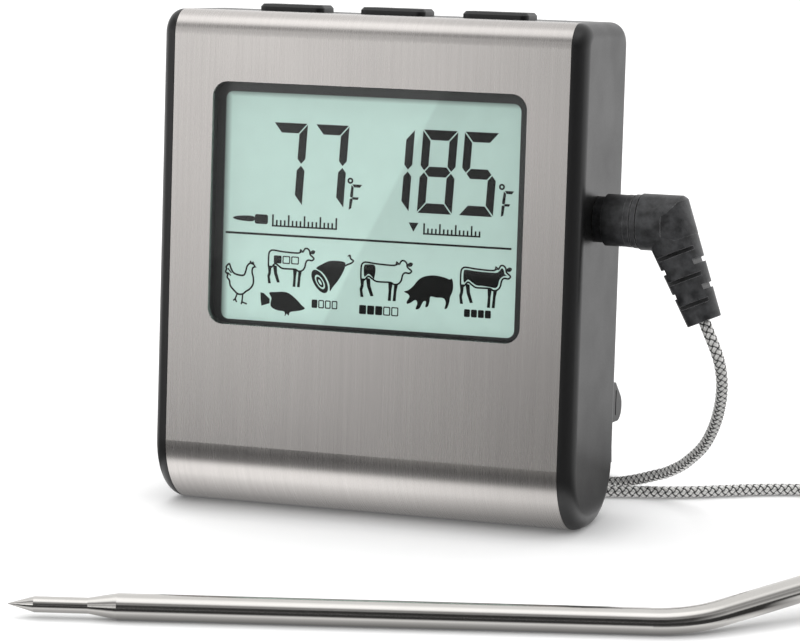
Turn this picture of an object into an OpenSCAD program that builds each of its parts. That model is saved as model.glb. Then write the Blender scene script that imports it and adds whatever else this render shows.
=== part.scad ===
// Digital probe thermometer on a fold-out stand, with a plug-in braided cable and
// a bent stainless probe. Units are millimetres, +Z is up, and +X runs towards the
// socket side. The origin is on the table, under the middle of the rounded bottom
// edge of the case. Case parts are drawn upright (x centred, y from the front face
// backwards, z from the bottom edge) and then leaned back onto the stand.

/* [Case] */
// Overall width of the case
case_w = 70.0; // [69.8:0.1:70.6]
// Height of the case along its own back
case_h = 78.7; // [78.6:0.1:79.4]
// Depth of the case from front to back
case_d = 22.9; // [22.8:0.05:23.1]
// Radius of the bottom edge, front and back
bot_r = 10.325; // [10.2:0.025:10.4]
// Radius of the bend along the top front edge
top_front_r = 3.9; // [3.7:0.1:4.2]
// Radius along the top back edge
top_back_r = 3.6; // [3.5:0.1:3.9]
// Radius of the round rim down both sides of the faceplate
rim_r = 2.37; // [2.2:0.01:2.45]
// Thickness of the moulded side walls
side_wall = 2.0; // [1.9:0.1:2.1]
// Backward lean of the standing case, in degrees
lean = 4.96; // [4.5:0.02:5.4]

/* [Faceplate and window] */
// Thickness of the wrapped steel sheet
plate_t = 0.5; // [0.4:0.05:0.5]
// Width of the display window
window_w = 51.9; // [50:0.1:52]
// Height of the display window
window_h = 38.2; // [37:0.1:38.3]
// Height of the window's lower edge above the bottom of the case
window_z = 29.45; // [29.4:0.05:29.8]
// Corner radius of the window
window_r = 2.5; // [1.5:0.1:3]

/* [Buttons] */
// Width of each key
key_w = 10.8; // [9.5:0.1:11.4]
// Depth of each key, front to back
key_d = 6.0; // [5:0.1:6.4]
// Distance between neighbouring keys
key_pitch = 17.0; // [16:0.1:17.6]
// Height of the keys above the top of the case
key_rise = 1.1; // [0.9:0.05:1.4]
// Travel of a pressed key
key_travel = 0.6; // [0.4:0.05:0.6]

/* [Socket and plug] */
// Height of the socket's axis above the bottom of the case
jack_z = 48.67; // [48.4:0.01:49]
// Depth of the socket's axis behind the front face
jack_y = 9.0; // [8.9:0.05:9.1]
// Diameter of the plug's metal shank
shank_d = 3.5; // [3.4:0.05:3.5]
// Diameter of the moulded sleeve next to the case
sleeve_d = 8.0; // [7.6:0.1:8.4]
// Angle by which the moulded elbow turns the cable down
elbow_angle = 66.5; // [64:0.5:69]
// Length of the grooved strain relief below the elbow
relief_l = 16.0; // [15.5:0.1:16.2]

/* [Stand] */
// Length of the stand from its hinge to its foot
stand_l = 25.6; // [25:0.1:26.5]
// Height of the stand's hinge above the bottom of the case
hinge_z = 18.6; // [18.4:0.1:18.8]
// Distance of the stand's hinge behind the front face
hinge_y = 25.1; // [25.05:0.05:25.3]

/* [Cable] */
// Diameter of the braided cable
cable_d = 1.9; // [1.6:0.1:2]

/* [Probe] */
// Outside diameter of the probe's tube
probe_d = 3.8; // [3.6:0.1:3.8]
// Diameter of the thin needle at the tip
needle_d = 2.3; // [2.2:0.1:2.5]
// Length of the tube from the tip to the start of the bend
probe_straight = 91.2; // [90:0.2:93]
// Centre-line radius of the bend
probe_bend_r = 15; // [10:5:20]
// Length of the tube behind the bend
probe_tail = 36; // [35:0.5:37]

/* [Hidden] */
$fn = 64;

// Case
flat_cut = 0.15;                    // depth of the flat strip it stands on
axis_z = bot_r - flat_cut;          // height of the front bottom round's centre
core_x = case_w / 2 - rim_r;        // where the round rims start
front_wall = 2.2;                   // sheet, glue gap and moulded wall together
cavity_x = case_w / 2 - side_wall;
back_y = case_d - 2.0;              // inner face of the back cover
cover_z0 = 11.0;
cover_z1 = case_h - 3.9;
screw_xz = [[-30.0, 13.6], [30.0, 13.6], [-30.2, 72.6], [30.2, 72.6]];

// Battery, its bay, and the parts set in the back cover
battery_y = 12.9;                   // axis of the battery
battery_z = 18.0;
bay_x = 25.2;                       // half width of the bay
bay_half_h = 5.6;
bay_wall = 1.2;
door_x = 24.2;                      // half width of the door
magnet_x = 20;
magnet_z = 60;
magnet_r = 5.0;
buzzer_z = 42;

// Display and circuit board
window_mid_z = window_z + window_h / 2;
glass_size = [window_w + 3.1, window_h + 3.1];
frame_front = 2.9;
frame_xz = [[-28.9, 28.2], [28.9, 28.2], [-28.9, 68.6], [28.9, 68.6]];
board_x = 31;                       // half width of the board
board_y = 7.6;
board_back = board_y + 1.6;
board_z0 = 26.5;
board_z1 = 71.2;
part_y = board_back + 0.01;         // where parts behind the board start

// Keys
key_y = 12.2;
key_top = case_h + key_rise;
flange_z1 = case_h - front_wall - 0.07;
flange_t = 0.8;

// Socket and plug
nose_r = 3.05;                      // round nose of the socket
bore_r = shank_d / 2 + 0.05;        // bore around the shank
side_x = case_w / 2;                // outer face on the socket side
collar_x = side_x + 2.2;            // collar on the plug's barrel
collar_w = 1.0;
collar_r = 2.7;
elbow_reach = 11.2;
elbow_x = side_x + elbow_reach;     // corner of the plug's elbow
elbow_r = sleeve_d / 2 + 0.35;
relief_dir = [cos(elbow_angle), 0, -sin(elbow_angle)];
relief_end = [elbow_x, jack_y, jack_z] + relief_l * relief_dir;

// Leans a point or a child drawn upright back onto the stand
function leaned(p) = [p.x,
    (p.y - bot_r) * cos(lean) + (p.z - bot_r) * sin(lean),
    axis_z - (p.y - bot_r) * sin(lean) + (p.z - bot_r) * cos(lean)];
module lean_back() translate([0, 0, axis_z]) rotate([-lean, 0, 0])
    translate([0, -bot_r, -bot_r]) children();

// Stand
hinge_r = 1.9;
pin_r = 0.8;
pin_hole_r = 0.85;
outer_lug_x = 33.0;
outer_lug_w = 1.7;
inner_lug_x = 28;                   // middle of the inner lug
inner_lug_half = 0.75;
arm_x0 = 29.2;                      // inner and outer side of an arm at the hinge
arm_x1 = 32.4;
arm_foot_x = 24.2;                  // inner side of an arm at the foot
foot_bar = 3.6;
foot_r = 1.3;
stand_pivot = leaned([0, hinge_y, hinge_z]);
stand_drop = asin((stand_pivot.z - foot_r) / stand_l);

// Probe: heading on the table, place of the tip, and tilt of the bend's plane
heading = 14.52;
probe_tip = [-26.82, -77.93, probe_d / 2];
bend_tilt = 10.95;
probe_bend = atan2(3, 4);           // angle between the shaft and the tail
shaft_dir = [cos(heading), sin(heading), 0];
level_dir = [-sin(heading), cos(heading), 0];
bend_dir = level_dir * cos(bend_tilt) + [0, 0, sin(bend_tilt)];
function bend_point(a) = bend_start
    + probe_bend_r * (sin(a) * shaft_dir + (1 - cos(a)) * bend_dir);
bend_start = probe_tip + probe_straight * shaft_dir;
bend_end = bend_point(probe_bend);
tail_dir = shaft_dir * cos(probe_bend) + bend_dir * sin(probe_bend);
tube_end = bend_end + probe_tail * tail_dir;
ferrule_l = 11;
ferrule_lap = 4;                    // length of tube inside the ferrule
ferrule_end = tube_end + (ferrule_l - ferrule_lap) * tail_dir;
lift_pivot = ferrule_end + 5 * tail_dir;    // joint of the cable's tail and probe end

// Catmull-Rom curve through control points
function catmull_rom(before, start, end, after, t) = 0.5 * (2 * start + (end - before) * t
    + (2 * before - 5 * start + 4 * end - after) * t * t
    + (3 * start - before - 3 * end + after) * t * t * t);
function spline(points, steps) = let (last = len(points) - 1) [
    for (i = [0:last - 1], j = [0:steps - 1])
        catmull_rom(points[max(i - 1, 0)], points[i], points[i + 1],
            points[min(i + 2, last)], j / steps),
    points[last]];
function unit(v) = v / norm(v);
function tangent(path, i) = unit(path[min(i + 1, len(path) - 1)] - path[max(i - 1, 0)]);
function ring(path, i, r, sides, up) = let (
        along = tangent(path, i),
        across = unit(cross(along, up)),
        normal = cross(across, along))
    [for (k = [0:sides - 1])
        path[i] + r * (cos(360 * k / sides) * across + sin(360 * k / sides) * normal)];

// Round wire along a path of points
module wire(path, r, sides, up = [0, 0, 1]) {
    rings = len(path);
    polyhedron(
        points = [for (i = [0:rings - 1]) each ring(path, i, r, sides, up)],
        faces = concat(
            [[for (k = [0:sides - 1]) sides - 1 - k]],
            [for (i = [0:rings - 2], k = [0:sides - 1])
                [i * sides + k, i * sides + (k + 1) % sides, (i + 1) * sides + k]],
            [for (i = [0:rings - 2], k = [0:sides - 1])
                [i * sides + (k + 1) % sides, (i + 1) * sides + (k + 1) % sides,
                    (i + 1) * sides + k]],
            [[for (k = [0:sides - 1]) (rings - 1) * sides + k]]),
        convexity = 10);
}

// Rounded rectangle centred on the origin
module rounded(w, h, r) {
    square([w - 2 * r, h], center = true);
    square([w, h - 2 * r], center = true);
    for (x = [-1, 1], y = [-1, 1])
        translate([x * (w / 2 - r), y * (h / 2 - r)]) circle(r);
}

// Extrudes a y-z outline between two x positions
module along_x(x0, x1) rotate([90, 0, 90]) translate([0, 0, x0])
    linear_extrude(x1 - x0) children();
// Extrudes an x-z outline between two y positions
module along_y(y0, y1) translate([0, y1, 0]) rotate([90, 0, 0])
    linear_extrude(y1 - y0) children();
module rod_y(x, z, r, y0, y1) translate([x, y0, z]) rotate([-90, 0, 0])
    cylinder(r = r, h = y1 - y0);
module rod_x(y, z, r, x0, x1) translate([x0, y, z]) rotate([0, 90, 0])
    cylinder(r = r, h = x1 - x0);
// Rod along x from x0 to x1, and its mirror image on the -X side
module rod_pair(y, z, r, x0, x1) for (side = [-1, 1])
    rod_x(y, z, r, side > 0 ? x0 : -x1, side > 0 ? x1 : -x0);
module block(x0, x1, y0, y1, z0, z1) translate([x0, y0, z0])
    cube([x1 - x0, y1 - y0, z1 - z0]);

// Extrudes an x-z outline centred on the window
module at_window(y0, y1) along_y(y0, y1) translate([0, window_mid_z]) children();
module window_block(y0, y1, grow) at_window(y0, y1)
    rounded(window_w + 2 * grow, window_h + 2 * grow, window_r + grow);

// Side outline of the case in the y-z plane, set in by t all round
module outline(t) {
    translate([bot_r, bot_r]) circle(bot_r - t, $fn = 128);
    translate([case_d - bot_r, bot_r]) circle(bot_r - t, $fn = 128);
    translate([bot_r, t]) square([case_d - 2 * bot_r, bot_r]);
    translate([t, bot_r]) square([case_d - 2 * t, case_h - bot_r - top_front_r]);
    translate([top_front_r, bot_r])
        square([case_d - top_front_r - top_back_r, case_h - bot_r - t]);
    translate([bot_r, bot_r]) square([case_d - bot_r - t, case_h - bot_r - top_back_r]);
    translate([top_front_r, case_h - top_front_r]) circle(top_front_r - t);
    translate([case_d - top_back_r, case_h - top_back_r]) circle(top_back_r - t);
}

// Zone of the outline that the faceplate covers: the top edge back to top_y, the
// front, and the bottom round as far as end_angle
module plate_zone(top_y, end_angle) {
    outside = 5;                    // reach in front of the case
    far_r = 22;                     // reach beyond the bottom round
    translate([-outside, bot_r]) square([outside + 2.6, case_h - bot_r]);
    translate([-outside, case_h - 4.5]) square([outside + top_y, 10]);
    polygon([[bot_r, bot_r], [-outside, bot_r], [-outside, -8],
        [bot_r + far_r * cos(end_angle), bot_r + far_r * sin(end_angle)]]);
}

// Round rim down the +X side: a quarter disc carried round the outline of the case
module quarter() intersection() {
    circle(rim_r);
    square(rim_r + 1);
}
module edge_turn(y, z, corner_r, start, angle) translate([core_x, y, z])
    rotate([0, 90, 0]) rotate([0, 0, start])
        rotate_extrude(angle = angle) translate([corner_r - rim_r, 0]) quarter();
module rim_edges() {
    edge_turn(bot_r, bot_r, bot_r, -90, 90);
    edge_turn(case_d - bot_r, bot_r, bot_r, 0, 90);
    translate([core_x, case_d - bot_r, rim_r]) rotate([90, 0, 0])
        linear_extrude(case_d - 2 * bot_r) mirror([0, 1]) quarter();
    edge_turn(top_front_r, case_h - top_front_r, top_front_r, 180, 90);
    edge_turn(case_d - top_back_r, case_h - top_back_r, top_back_r, 90, 90);
    translate([core_x, rim_r, bot_r])
        linear_extrude(case_h - bot_r - top_front_r) mirror([0, 1]) quarter();
    translate([core_x, case_d - rim_r, bot_r])
        linear_extrude(case_h - bot_r - top_back_r) quarter();
    translate([core_x, case_d - top_back_r, case_h - rim_r]) rotate([90, 0, 0])
        linear_extrude(case_d - top_front_r - top_back_r) quarter();
}

// Lug for one end of the stand's hinge: sloping top, round nose set low
module outer_lug(x0) difference() {
    along_x(x0, x0 + outer_lug_w) hull() {
        translate([case_d + 1.4, hinge_z - 0.75]) circle(r = 2.25);
        translate([case_d - 1.2, hinge_z - 3.0]) square([1.3, 6.3]);
    }
    block(x0 - 1, x0 + 3, case_d + 0.15, case_d + 0.6, hinge_z - 2.0, hinge_z + 2.0);
}

// Outer body of the case, with a round rim on each side
module case_solid() {
    along_x(-core_x, core_x) outline(0);
    along_x(-case_w / 2, case_w / 2) outline(rim_r);
    rim_edges();
    mirror([1, 0, 0]) rim_edges();
}

// One-piece moulded shell: front wall, sides, top and rounded bottom
module front_housing() color([0.30, 0.30, 0.31]) difference() {
    lean_back() difference() {
        union() {
            difference() {
                union() case_solid();
                // recess for the steel sheet
                along_x(-core_x - 0.05, core_x + 0.05) difference() {
                    plate_zone(6.6, 261.6);
                    outline(plate_t + 0.05);
                }
                // hollow inside, and the opening that the back cover closes
                along_x(-cavity_x, cavity_x) outline(front_wall);
                block(-cavity_x + 0.3, cavity_x - 0.3, case_d - 5, case_d + 3,
                    cover_z0 - 0.1, cover_z1 + 0.1);
            }
            // screw posts
            for (p = screw_xz) rod_y(p.x, p.y, 2.4, front_wall - 0.3, back_y - 0.05);
            outer_lug(outer_lug_x);
            outer_lug(-outer_lug_x - outer_lug_w);
        }
        // window, screw holes, key holes, socket hole and hinge pin holes
        window_block(-2, 4, 0);
        for (p = screw_xz) rod_y(p.x, p.y, 1.05, 10.5, back_y + 1);
        for (k = [-1:1]) translate([k * key_pitch, key_y, case_h - 4])
            linear_extrude(8) rounded(key_w + 0.3, key_d + 0.3, 1.35);
        rod_x(jack_y, jack_z, nose_r + 0.1, cavity_x - 1, case_w);
        rod_pair(hinge_y, hinge_z, pin_hole_r, 32.5, 34.2);
    }
    // everything below the table, which leaves the flat strip
    translate([-100, -100, -50]) cube([200, 200, 50]);
}

// Brushed sheet wrapped over the top edge, down the front and under the half round
module faceplate() color([0.75, 0.75, 0.76]) lean_back() difference() {
    along_x(-core_x, core_x) intersection() {
        difference() {
            outline(0);
            outline(plate_t);
        }
        plate_zone(6.5, 261.0);
    }
    window_block(-2, 4, 0);
}

// Back plate with the battery bay, magnet cups and inner hinge lugs
module back_cover() color([0.27, 0.27, 0.28]) lean_back() difference() {
    bay_y = 7.5;
    sound_hole_r = 0.6;
    sound_ring_r = 2.6;
    union() {
        along_y(back_y, case_d) translate([0, (cover_z0 + cover_z1) / 2])
            rounded(2 * (cavity_x - 0.4), cover_z1 - cover_z0, 1.2);
        block(-bay_x - bay_wall, bay_x + bay_wall, bay_y - 1.1, back_y + 0.1,
            battery_z - bay_half_h - bay_wall, battery_z + bay_half_h + bay_wall);
        for (side = [-1, 1]) {
            x0 = side * inner_lug_x - inner_lug_half;
            x1 = side * inner_lug_x + inner_lug_half;
            rod_y(side * magnet_x, magnet_z, magnet_r + 1.3, back_y - 1.6, back_y + 0.1);
            rod_x(hinge_y, hinge_z, hinge_r, x0, x1);
            block(x0, x1, case_d - 0.5, hinge_y, hinge_z - hinge_r, hinge_z + hinge_r);
        }
    }
    // battery bay, its door opening and the slots for the contacts' tabs
    block(-bay_x, bay_x, bay_y, back_y + 0.4, battery_z - bay_half_h, battery_z + bay_half_h);
    block(-door_x - 0.1, door_x + 0.1, 10, case_d + 1,
        battery_z - bay_half_h, battery_z + bay_half_h);
    for (slot = [[22.5, 23.3], [-25.15, -24.4]])
        block(slot[0], slot[1], 10.2, 13.8, battery_z + 5, battery_z + 8);
    // magnet pockets and hinge pin holes
    for (side = [-1, 1]) {
        rod_y(side * magnet_x, magnet_z, magnet_r + 0.1, back_y - 0.6, case_d + 1);
        rod_x(hinge_y, hinge_z, pin_hole_r, side * inner_lug_x - 2, side * inner_lug_x + 2);
    }
    // screw holes, widened for the heads
    for (p = screw_xz) {
        rod_y(p.x, p.y, 1.2, 15, case_d + 1);
        rod_y(p.x, p.y, 2.05, case_d - 1.25, case_d + 1);
    }
    // sound holes over the buzzer
    for (a = [0:60:300])
        rod_y(sound_ring_r * cos(a), buzzer_z + sound_ring_r * sin(a), sound_hole_r,
            15, case_d + 1);
    rod_y(0, buzzer_z, sound_hole_r, 15, case_d + 1);
}

// Box on a battery door: half width and half height about the middle [x, battery_z]
module door_rib(x, half_w, half_h, depth)
    block(x - half_w, x + half_w, case_d - depth, case_d - 1,
        battery_z - half_h, battery_z + half_h);

// Snap-in cover of the battery bay, with a grip of three finger grooves
module battery_door() color([0.25, 0.25, 0.26]) lean_back() difference() {
    groove_l = 12;
    union() {
        along_y(case_d - 1.5, case_d) translate([0, battery_z]) rounded(2 * door_x, 11.0, 0.8);
        for (side = [-1, 1]) door_rib(side * 23.2, 0.5, 4.6, 2.7);
        // ribs that hold the cell
        for (side = [-1, 1]) door_rib(side * 12, 0.6, 4, 4.4);
    }
    for (k = [0:2])
        rod_x(case_d + 0.25, battery_z + 1.4 + 1.3 * k, 0.5, -groove_l / 2, groove_l / 2);
}

// Clear window with a wider rear flange
module display_lens() color([0.80, 0.86, 0.86, 0.35]) lean_back() {
    window_block(0.3, front_wall + 0.1, -0.1);
    window_block(front_wall + 0.05, front_wall + 0.6, 1.2);
}

module display_glass() color([0.70, 0.77, 0.75]) lean_back()
    at_window(3.0, 5.0) square(glass_size, center = true);

module display_reflector() color([0.85, 0.88, 0.86]) lean_back()
    at_window(5.1, 5.75) rounded(window_w + 1.6, 34.6, 0.8);

// Moulded carrier that clamps the display glass to the circuit board
module display_frame() color([0.88, 0.88, 0.86]) lean_back() difference() {
    frame_back = board_y - 0.05;
    union() {
        at_window(frame_front, frame_back) rounded(59.4, 44.4, 1.5);
        for (p = frame_xz) rod_y(p.x, p.y, 1.75, frame_front, frame_back);
    }
    at_window(2, 9) square(glass_size + [0.2, 0.2], center = true);
    for (p = frame_xz) rod_y(p.x, p.y, 0.85, 3.6, 9);
    // notch beside the socket
    block(20, 40, 5.9, 9, jack_z - 3.6, jack_z + 3.6);
}

// Contact strips along the glass's lower and upper edges
module zebra_strips() color([0.55, 0.30, 0.35]) lean_back()
    for (z = [window_z - 0.2, window_z + window_h + 0.2])
        block(-25, 25, 5.05, board_y - 0.03, z - 1.1, z + 1.1);

// Board with its top corners and the socket's place cut out
module circuit_board() color([0.10, 0.38, 0.20]) lean_back() difference() {
    corner = 3.6;
    block(-board_x, board_x, board_y, board_back, board_z0, board_z1);
    for (side = [-1, 1])
        block(side * board_x - corner, side * board_x + corner, 7, 10, 69.9, 80);
    block(18.6, 40, 7, 10, jack_z - 3.75, jack_z + 3.75);
    for (p = frame_xz) rod_y(p.x, p.y, 1.0, 7, 10);
}

// Chip with a row of seven pins below it and another above it
module controller_chip() color([0.08, 0.08, 0.09]) lean_back() {
    chip_z = 54.5;
    chip_half = 4.5;
    pin_in = 4.4;                   // inner and outer ends of a pin, from chip_z
    pin_out = 5.5;
    block(-12, -3, board_back + 0.25, board_back + 1.5, chip_z - chip_half, chip_z + chip_half);
    for (k = [0:6], side = [-1, 1])
        translate([-10.9 + k * 1.13, board_back, chip_z])
            block(0, 0.45, 0.01, 0.55,
                side > 0 ? pin_in : -pin_out, side > 0 ? pin_out : -pin_in);
}

// Crystal, capacitors and resistors behind the board
module board_components() color([0.62, 0.62, 0.60]) lean_back() {
    small_back = board_back + 0.6;
    // round parts: x, z, radius, height
    for (part = [[6, 58, 2.0, 4.5], [-22, 36, 2.5, 5]])
        rod_y(part[0], part[1], part[2], part_y, board_back + part[3]);
    block(-2, 4.2, part_y, board_back + 1.6, 61.5, 63.6);
    for (k = [0:4]) block(-20 + k * 5, -18 + k * 5, part_y, small_back, 43, 44.2);
    for (k = [0:3]) block(7 + k * 3, 8.2 + k * 3, part_y, small_back, 62, 64);
}

// Right-angle push switches, one under each key
module button_switches() color([0.15, 0.15, 0.16]) lean_back()
    for (k = [-1:1]) translate([k * key_pitch, 0, 0]) {
        plunger_z = 72.5;
        block(-3.1, 3.1, board_back + 0.02, 13.9, 68.3, 72.6);
        translate([0, key_y, plunger_z])
            cylinder(r = 1.4, h = flange_z1 - flange_t - key_travel - 0.1 - plunger_z);
    }

// One key: cap with a chamfered top, and the flange that keeps it in
module key(x) lean_back() translate([x, key_y, 0]) {
    cap_z0 = flange_z1 - 0.1;
    chamfer_z = key_top - 0.5;
    hull() {
        translate([0, 0, cap_z0]) linear_extrude(chamfer_z + 0.05 - cap_z0)
            rounded(key_w, key_d, 1.2, $fn = 32);
        translate([0, 0, chamfer_z]) linear_extrude(0.5)
            rounded(key_w - 0.8, key_d - 0.8, 0.9, $fn = 32);
    }
    translate([0, 0, flange_z1 - flange_t]) linear_extrude(flange_t)
        rounded(key_w + 1.4, key_d + 1.2, 1.4);
}
key_color = [0.17, 0.17, 0.18];
module mode_button() color(key_color) key(-key_pitch);
module up_button() color(key_color) key(0);
module down_button() color(key_color) key(key_pitch);

// Socket body with a round nose through the side wall
module jack_socket() color([0.12, 0.12, 0.13]) lean_back() difference() {
    union() {
        block(19.5, 32.4, jack_y - 3.0, jack_y + 3.0, jack_z - 3.3, jack_z + 3.3);
        rod_x(jack_y, jack_z, nose_r, 32, side_x - 0.1);
    }
    rod_x(jack_y, jack_z, bore_r, 20.2, case_w);
}

// Plate at the socket's inner end and strip along its top
module jack_contacts() color([0.80, 0.65, 0.30]) lean_back() {
    block(18.95, 19.4, jack_y - 2, jack_y + 3.4, jack_z - 2.4, jack_z + 2.4);
    block(22, 31, jack_y + 0.6, jack_y + 2.4, jack_z + 3.35, jack_z + 3.65);
}

// Stepped disc, hollowed from behind
module buzzer() color([0.75, 0.62, 0.30]) lean_back() difference() {
    union() {
        rod_y(0, buzzer_z, 7, back_y - 1.9, back_y - 0.05);
        rod_y(0, buzzer_z, 4.5, back_y - 2.2, back_y - 1.8);
    }
    rod_y(0, buzzer_z, 5.6, back_y - 1.2, back_y + 1);
}

// Cylindrical cell, 10.5 by 44.5, with its raised positive end towards +X
module battery() color([0.20, 0.25, 0.30]) lean_back()
    translate([-21.9, battery_y, battery_z]) rotate([0, 90, 0]) {
        cylinder(r = 5.25, h = 43.5);
        cylinder(r = 1.9, h = 44.5);
    }

contact_color = [0.80, 0.80, 0.80];

// Conical spring of three turns at the battery's -X end
module battery_spring() color(contact_color) lean_back() {
    sweep = 3 * 360;
    path = [for (a = [0:20:sweep]) let (coil_r = 4.2 - 1.6 * a / sweep)
        [-24.35 + 2.2 * a / sweep, battery_y + coil_r * cos(a), battery_z + coil_r * sin(a)]];
    wire(path, 0.22, 8, [1, 0, 0]);
}

// Plate with a tab on top at each end of the bay
module battery_contacts() color(contact_color) lean_back()
    for (x = [22.75, -24.95]) {
        block(x, x + 0.3, 9, 17, battery_z - 5, battery_z + 5);
        block(x, x + 0.3, 10.5, 13.5, battery_z + 4.9, battery_z + 7.6);
    }

// Wires from the contacts' tabs up towards the board
module battery_wires() color([0.70, 0.12, 0.10]) lean_back() for (side = [-1, 1])
    wire(spline([[side > 0 ? 22.3 : -24.2, 12, 25.4], [side > 0 ? 21.6 : -23.4, 12, 26.6],
        [side * 20.4, 11.2, 29], [side * 19, 9.9, 32]], 5), 0.42, 8, [1, 0, 0]);

module magnets() color([0.60, 0.60, 0.62]) lean_back() for (side = [-1, 1])
    rod_y(side * magnet_x, magnet_z, magnet_r, back_y - 0.5, case_d + 0.3);

// Self-tapping screw along y, with a cross slot in its head; head_y is the head's back
module screw(x, z, head_y, head_r, head_t, shank_r, shank_l) difference() {
    slot_reach = head_r * 0.62;
    slot_half = 0.2;
    slot_y = head_y - 0.5;
    union() {
        rod_y(x, z, head_r, head_y - head_t, head_y);
        rod_y(x, z, shank_r, head_y - head_t - shank_l, head_y - head_t + 0.1);
    }
    block(x - slot_reach, x + slot_reach, slot_y, head_y + 1, z - slot_half, z + slot_half);
    block(x - slot_half, x + slot_half, slot_y, head_y + 1, z - slot_reach, z + slot_reach);
}
module case_screws() color([0.55, 0.55, 0.57]) lean_back() for (p = screw_xz)
    screw(p.x, p.y, head_y = case_d - 0.1, head_r = 1.9, head_t = 1.1,
        shank_r = 1.0, shank_l = 8);
module board_screws() color([0.70, 0.70, 0.72]) lean_back() for (p = frame_xz)
    screw(p.x, p.y, head_y = board_back + 1.1, head_r = 1.5, head_t = 1.08,
        shank_r = 0.8, shank_l = 5.2);

// Places a child drawn flat, with the hinge along x and the foot towards +Y
module on_stand() translate([0, stand_pivot.y, stand_pivot.z])
    rotate([-stand_drop, 0, 0]) children();

// Fold-out stand: two arms that taper to a foot bar
module stand_arm(side) polygon([[side * arm_x0, 0], [side * arm_x0, 5],
    [side * arm_foot_x, stand_l - foot_bar], [side * arm_foot_x, stand_l],
    [side * (arm_foot_x + 3), stand_l], [side * arm_x1, 3.5], [side * arm_x1, 0]]);
module stand_leg() color([0.22, 0.22, 0.23]) on_stand() difference() {
    union() {
        translate([0, 0, -1.2]) linear_extrude(2.4) {
            stand_arm(1);
            stand_arm(-1);
            translate([-25, stand_l - foot_bar]) square([50, foot_bar]);
        }
        rod_pair(0, 0, hinge_r, arm_x0, arm_x1);
    }
    // pin hole, and groove along the foot bar
    rod_x(0, 0, pin_hole_r, -40, 40);
    rod_x(stand_l, 0, 1.15, -40, 40);
}
module stand_pins() color([0.72, 0.72, 0.74]) lean_back()
    rod_pair(hinge_y, hinge_z, pin_r, 27.4, 34.1);
// Half-round pad along the end of the foot bar
module stand_foot_pad() color([0.10, 0.10, 0.10]) on_stand() difference() {
    rod_x(stand_l, 0, foot_r, -23, 23);
    translate([-30, stand_l - 5, -3]) cube([60, 5 + 0.05, 6]);
}

// Metal shank of the plug: rounded tip, insulating ring and barrel
metal_color = [0.82, 0.80, 0.74];
// Profile of the tip: radius, x in the case
tip_profile = [[0, 21.0], [0.7, 21.0], [1.3, 21.5], [shank_d / 2, 22.8], [shank_d / 2, 23.2],
    [1.25, 24.2], [1.25, 24.8], [shank_d / 2, 25.4], [shank_d / 2, 26.6], [0, 26.6]];
module plug_tip() color(metal_color) lean_back() translate([0, jack_y, jack_z])
    rotate([0, 90, 0]) rotate_extrude() polygon(tip_profile);
module plug_insulator() color([0.08, 0.08, 0.08]) lean_back()
    rod_x(jack_y, jack_z, shank_d / 2 - 0.02, 26.62, 27.4);
module plug_barrel() color(metal_color) lean_back() {
    rod_x(jack_y, jack_z, shank_d / 2, 27.42, elbow_x - 4);
    rod_x(jack_y, jack_z, collar_r, collar_x, collar_x + collar_w);
}

// Steps of the sleeve: radius, start and end outside the case's side
sleeve_steps = [
    [sleeve_d / 2 - 0.45, 0.15, 2],
    [sleeve_d / 2, 1.6, 5.2],
    [sleeve_d / 2 + 0.05, 5.1, 6.0],
    [sleeve_d / 2 + 0.15, 6.25, 7.0],
    [sleeve_d / 2 - 0.15, 5, 8],
    [elbow_r, 7.25, elbow_reach]];
groove_pitch = 4.05;

module at_elbow() translate([elbow_x, jack_y, jack_z]) children();
// Turns +Z to run down the strain relief
module turn_down() rotate([0, 90 + elbow_angle, 0]) children();

// Moulded elbow: stepped sleeve, mitred corner and a slotted strain relief
module plug_boot() color([0.13, 0.13, 0.14]) lean_back() difference() {
    union() {
        for (step = sleeve_steps)
            rod_x(jack_y, jack_z, step[0], side_x + step[1], side_x + step[2]);
        // mitred corner with its point eased
        at_elbow() intersection() {
            rotate([0, 90, 0]) translate([0, 0, -5]) cylinder(r = elbow_r, h = 11);
            turn_down() translate([0, 0, -6]) cylinder(r1 = 4.58, r2 = 3.6, h = 12);
            sphere(r = 1.12 * elbow_r);
        }
        at_elbow() turn_down() cylinder(r1 = 4.05, r2 = 2.72, h = relief_l);
    }
    // bore for the metal shank and its collar
    rod_x(jack_y, jack_z, bore_r, 30, elbow_x - 3.9);
    rod_x(jack_y, jack_z, collar_r + 0.05, collar_x - 0.05, collar_x + collar_w + 0.05);
    // slots across the front and back, and notches in the sides between them
    at_elbow() turn_down() {
        for (k = [0:2], side = [-1, 1]) {
            core = 1.95 - 0.1 * k;
            translate([-5, side > 0 ? core : -6 - core,
                    relief_l - 3.0 - groove_pitch * (2 - k) - 0.3])
                cube([10, 6, 0.6]);
        }
        for (k = [0:1], side = [-1, 1]) {
            core = 2.35 - 0.1 * k;
            translate([side > 0 ? core : -6 - core, -5,
                    relief_l - 5.0 - groove_pitch * (1 - k) - 0.4])
                cube([6, 10, 0.8]);
        }
        translate([0, 0, relief_l - 1.5]) cylinder(r = cable_d / 2 + 0.05, h = 3);
    }
}

cable_color = [0.66, 0.66, 0.66];
cable_r = cable_d / 2;
lie = cable_r + 0.05;               // height of the cable's centre on the table
boot_end = leaned(relief_end);
boot_dir = leaned(relief_end + relief_dir) - boot_end;
swing_pivot = [90, 28.3, lie];      // joint of the cable's run and tail
swing_gap = 0.3 * unit([8, -4, 0]); // from the joint to the end of either piece

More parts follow.
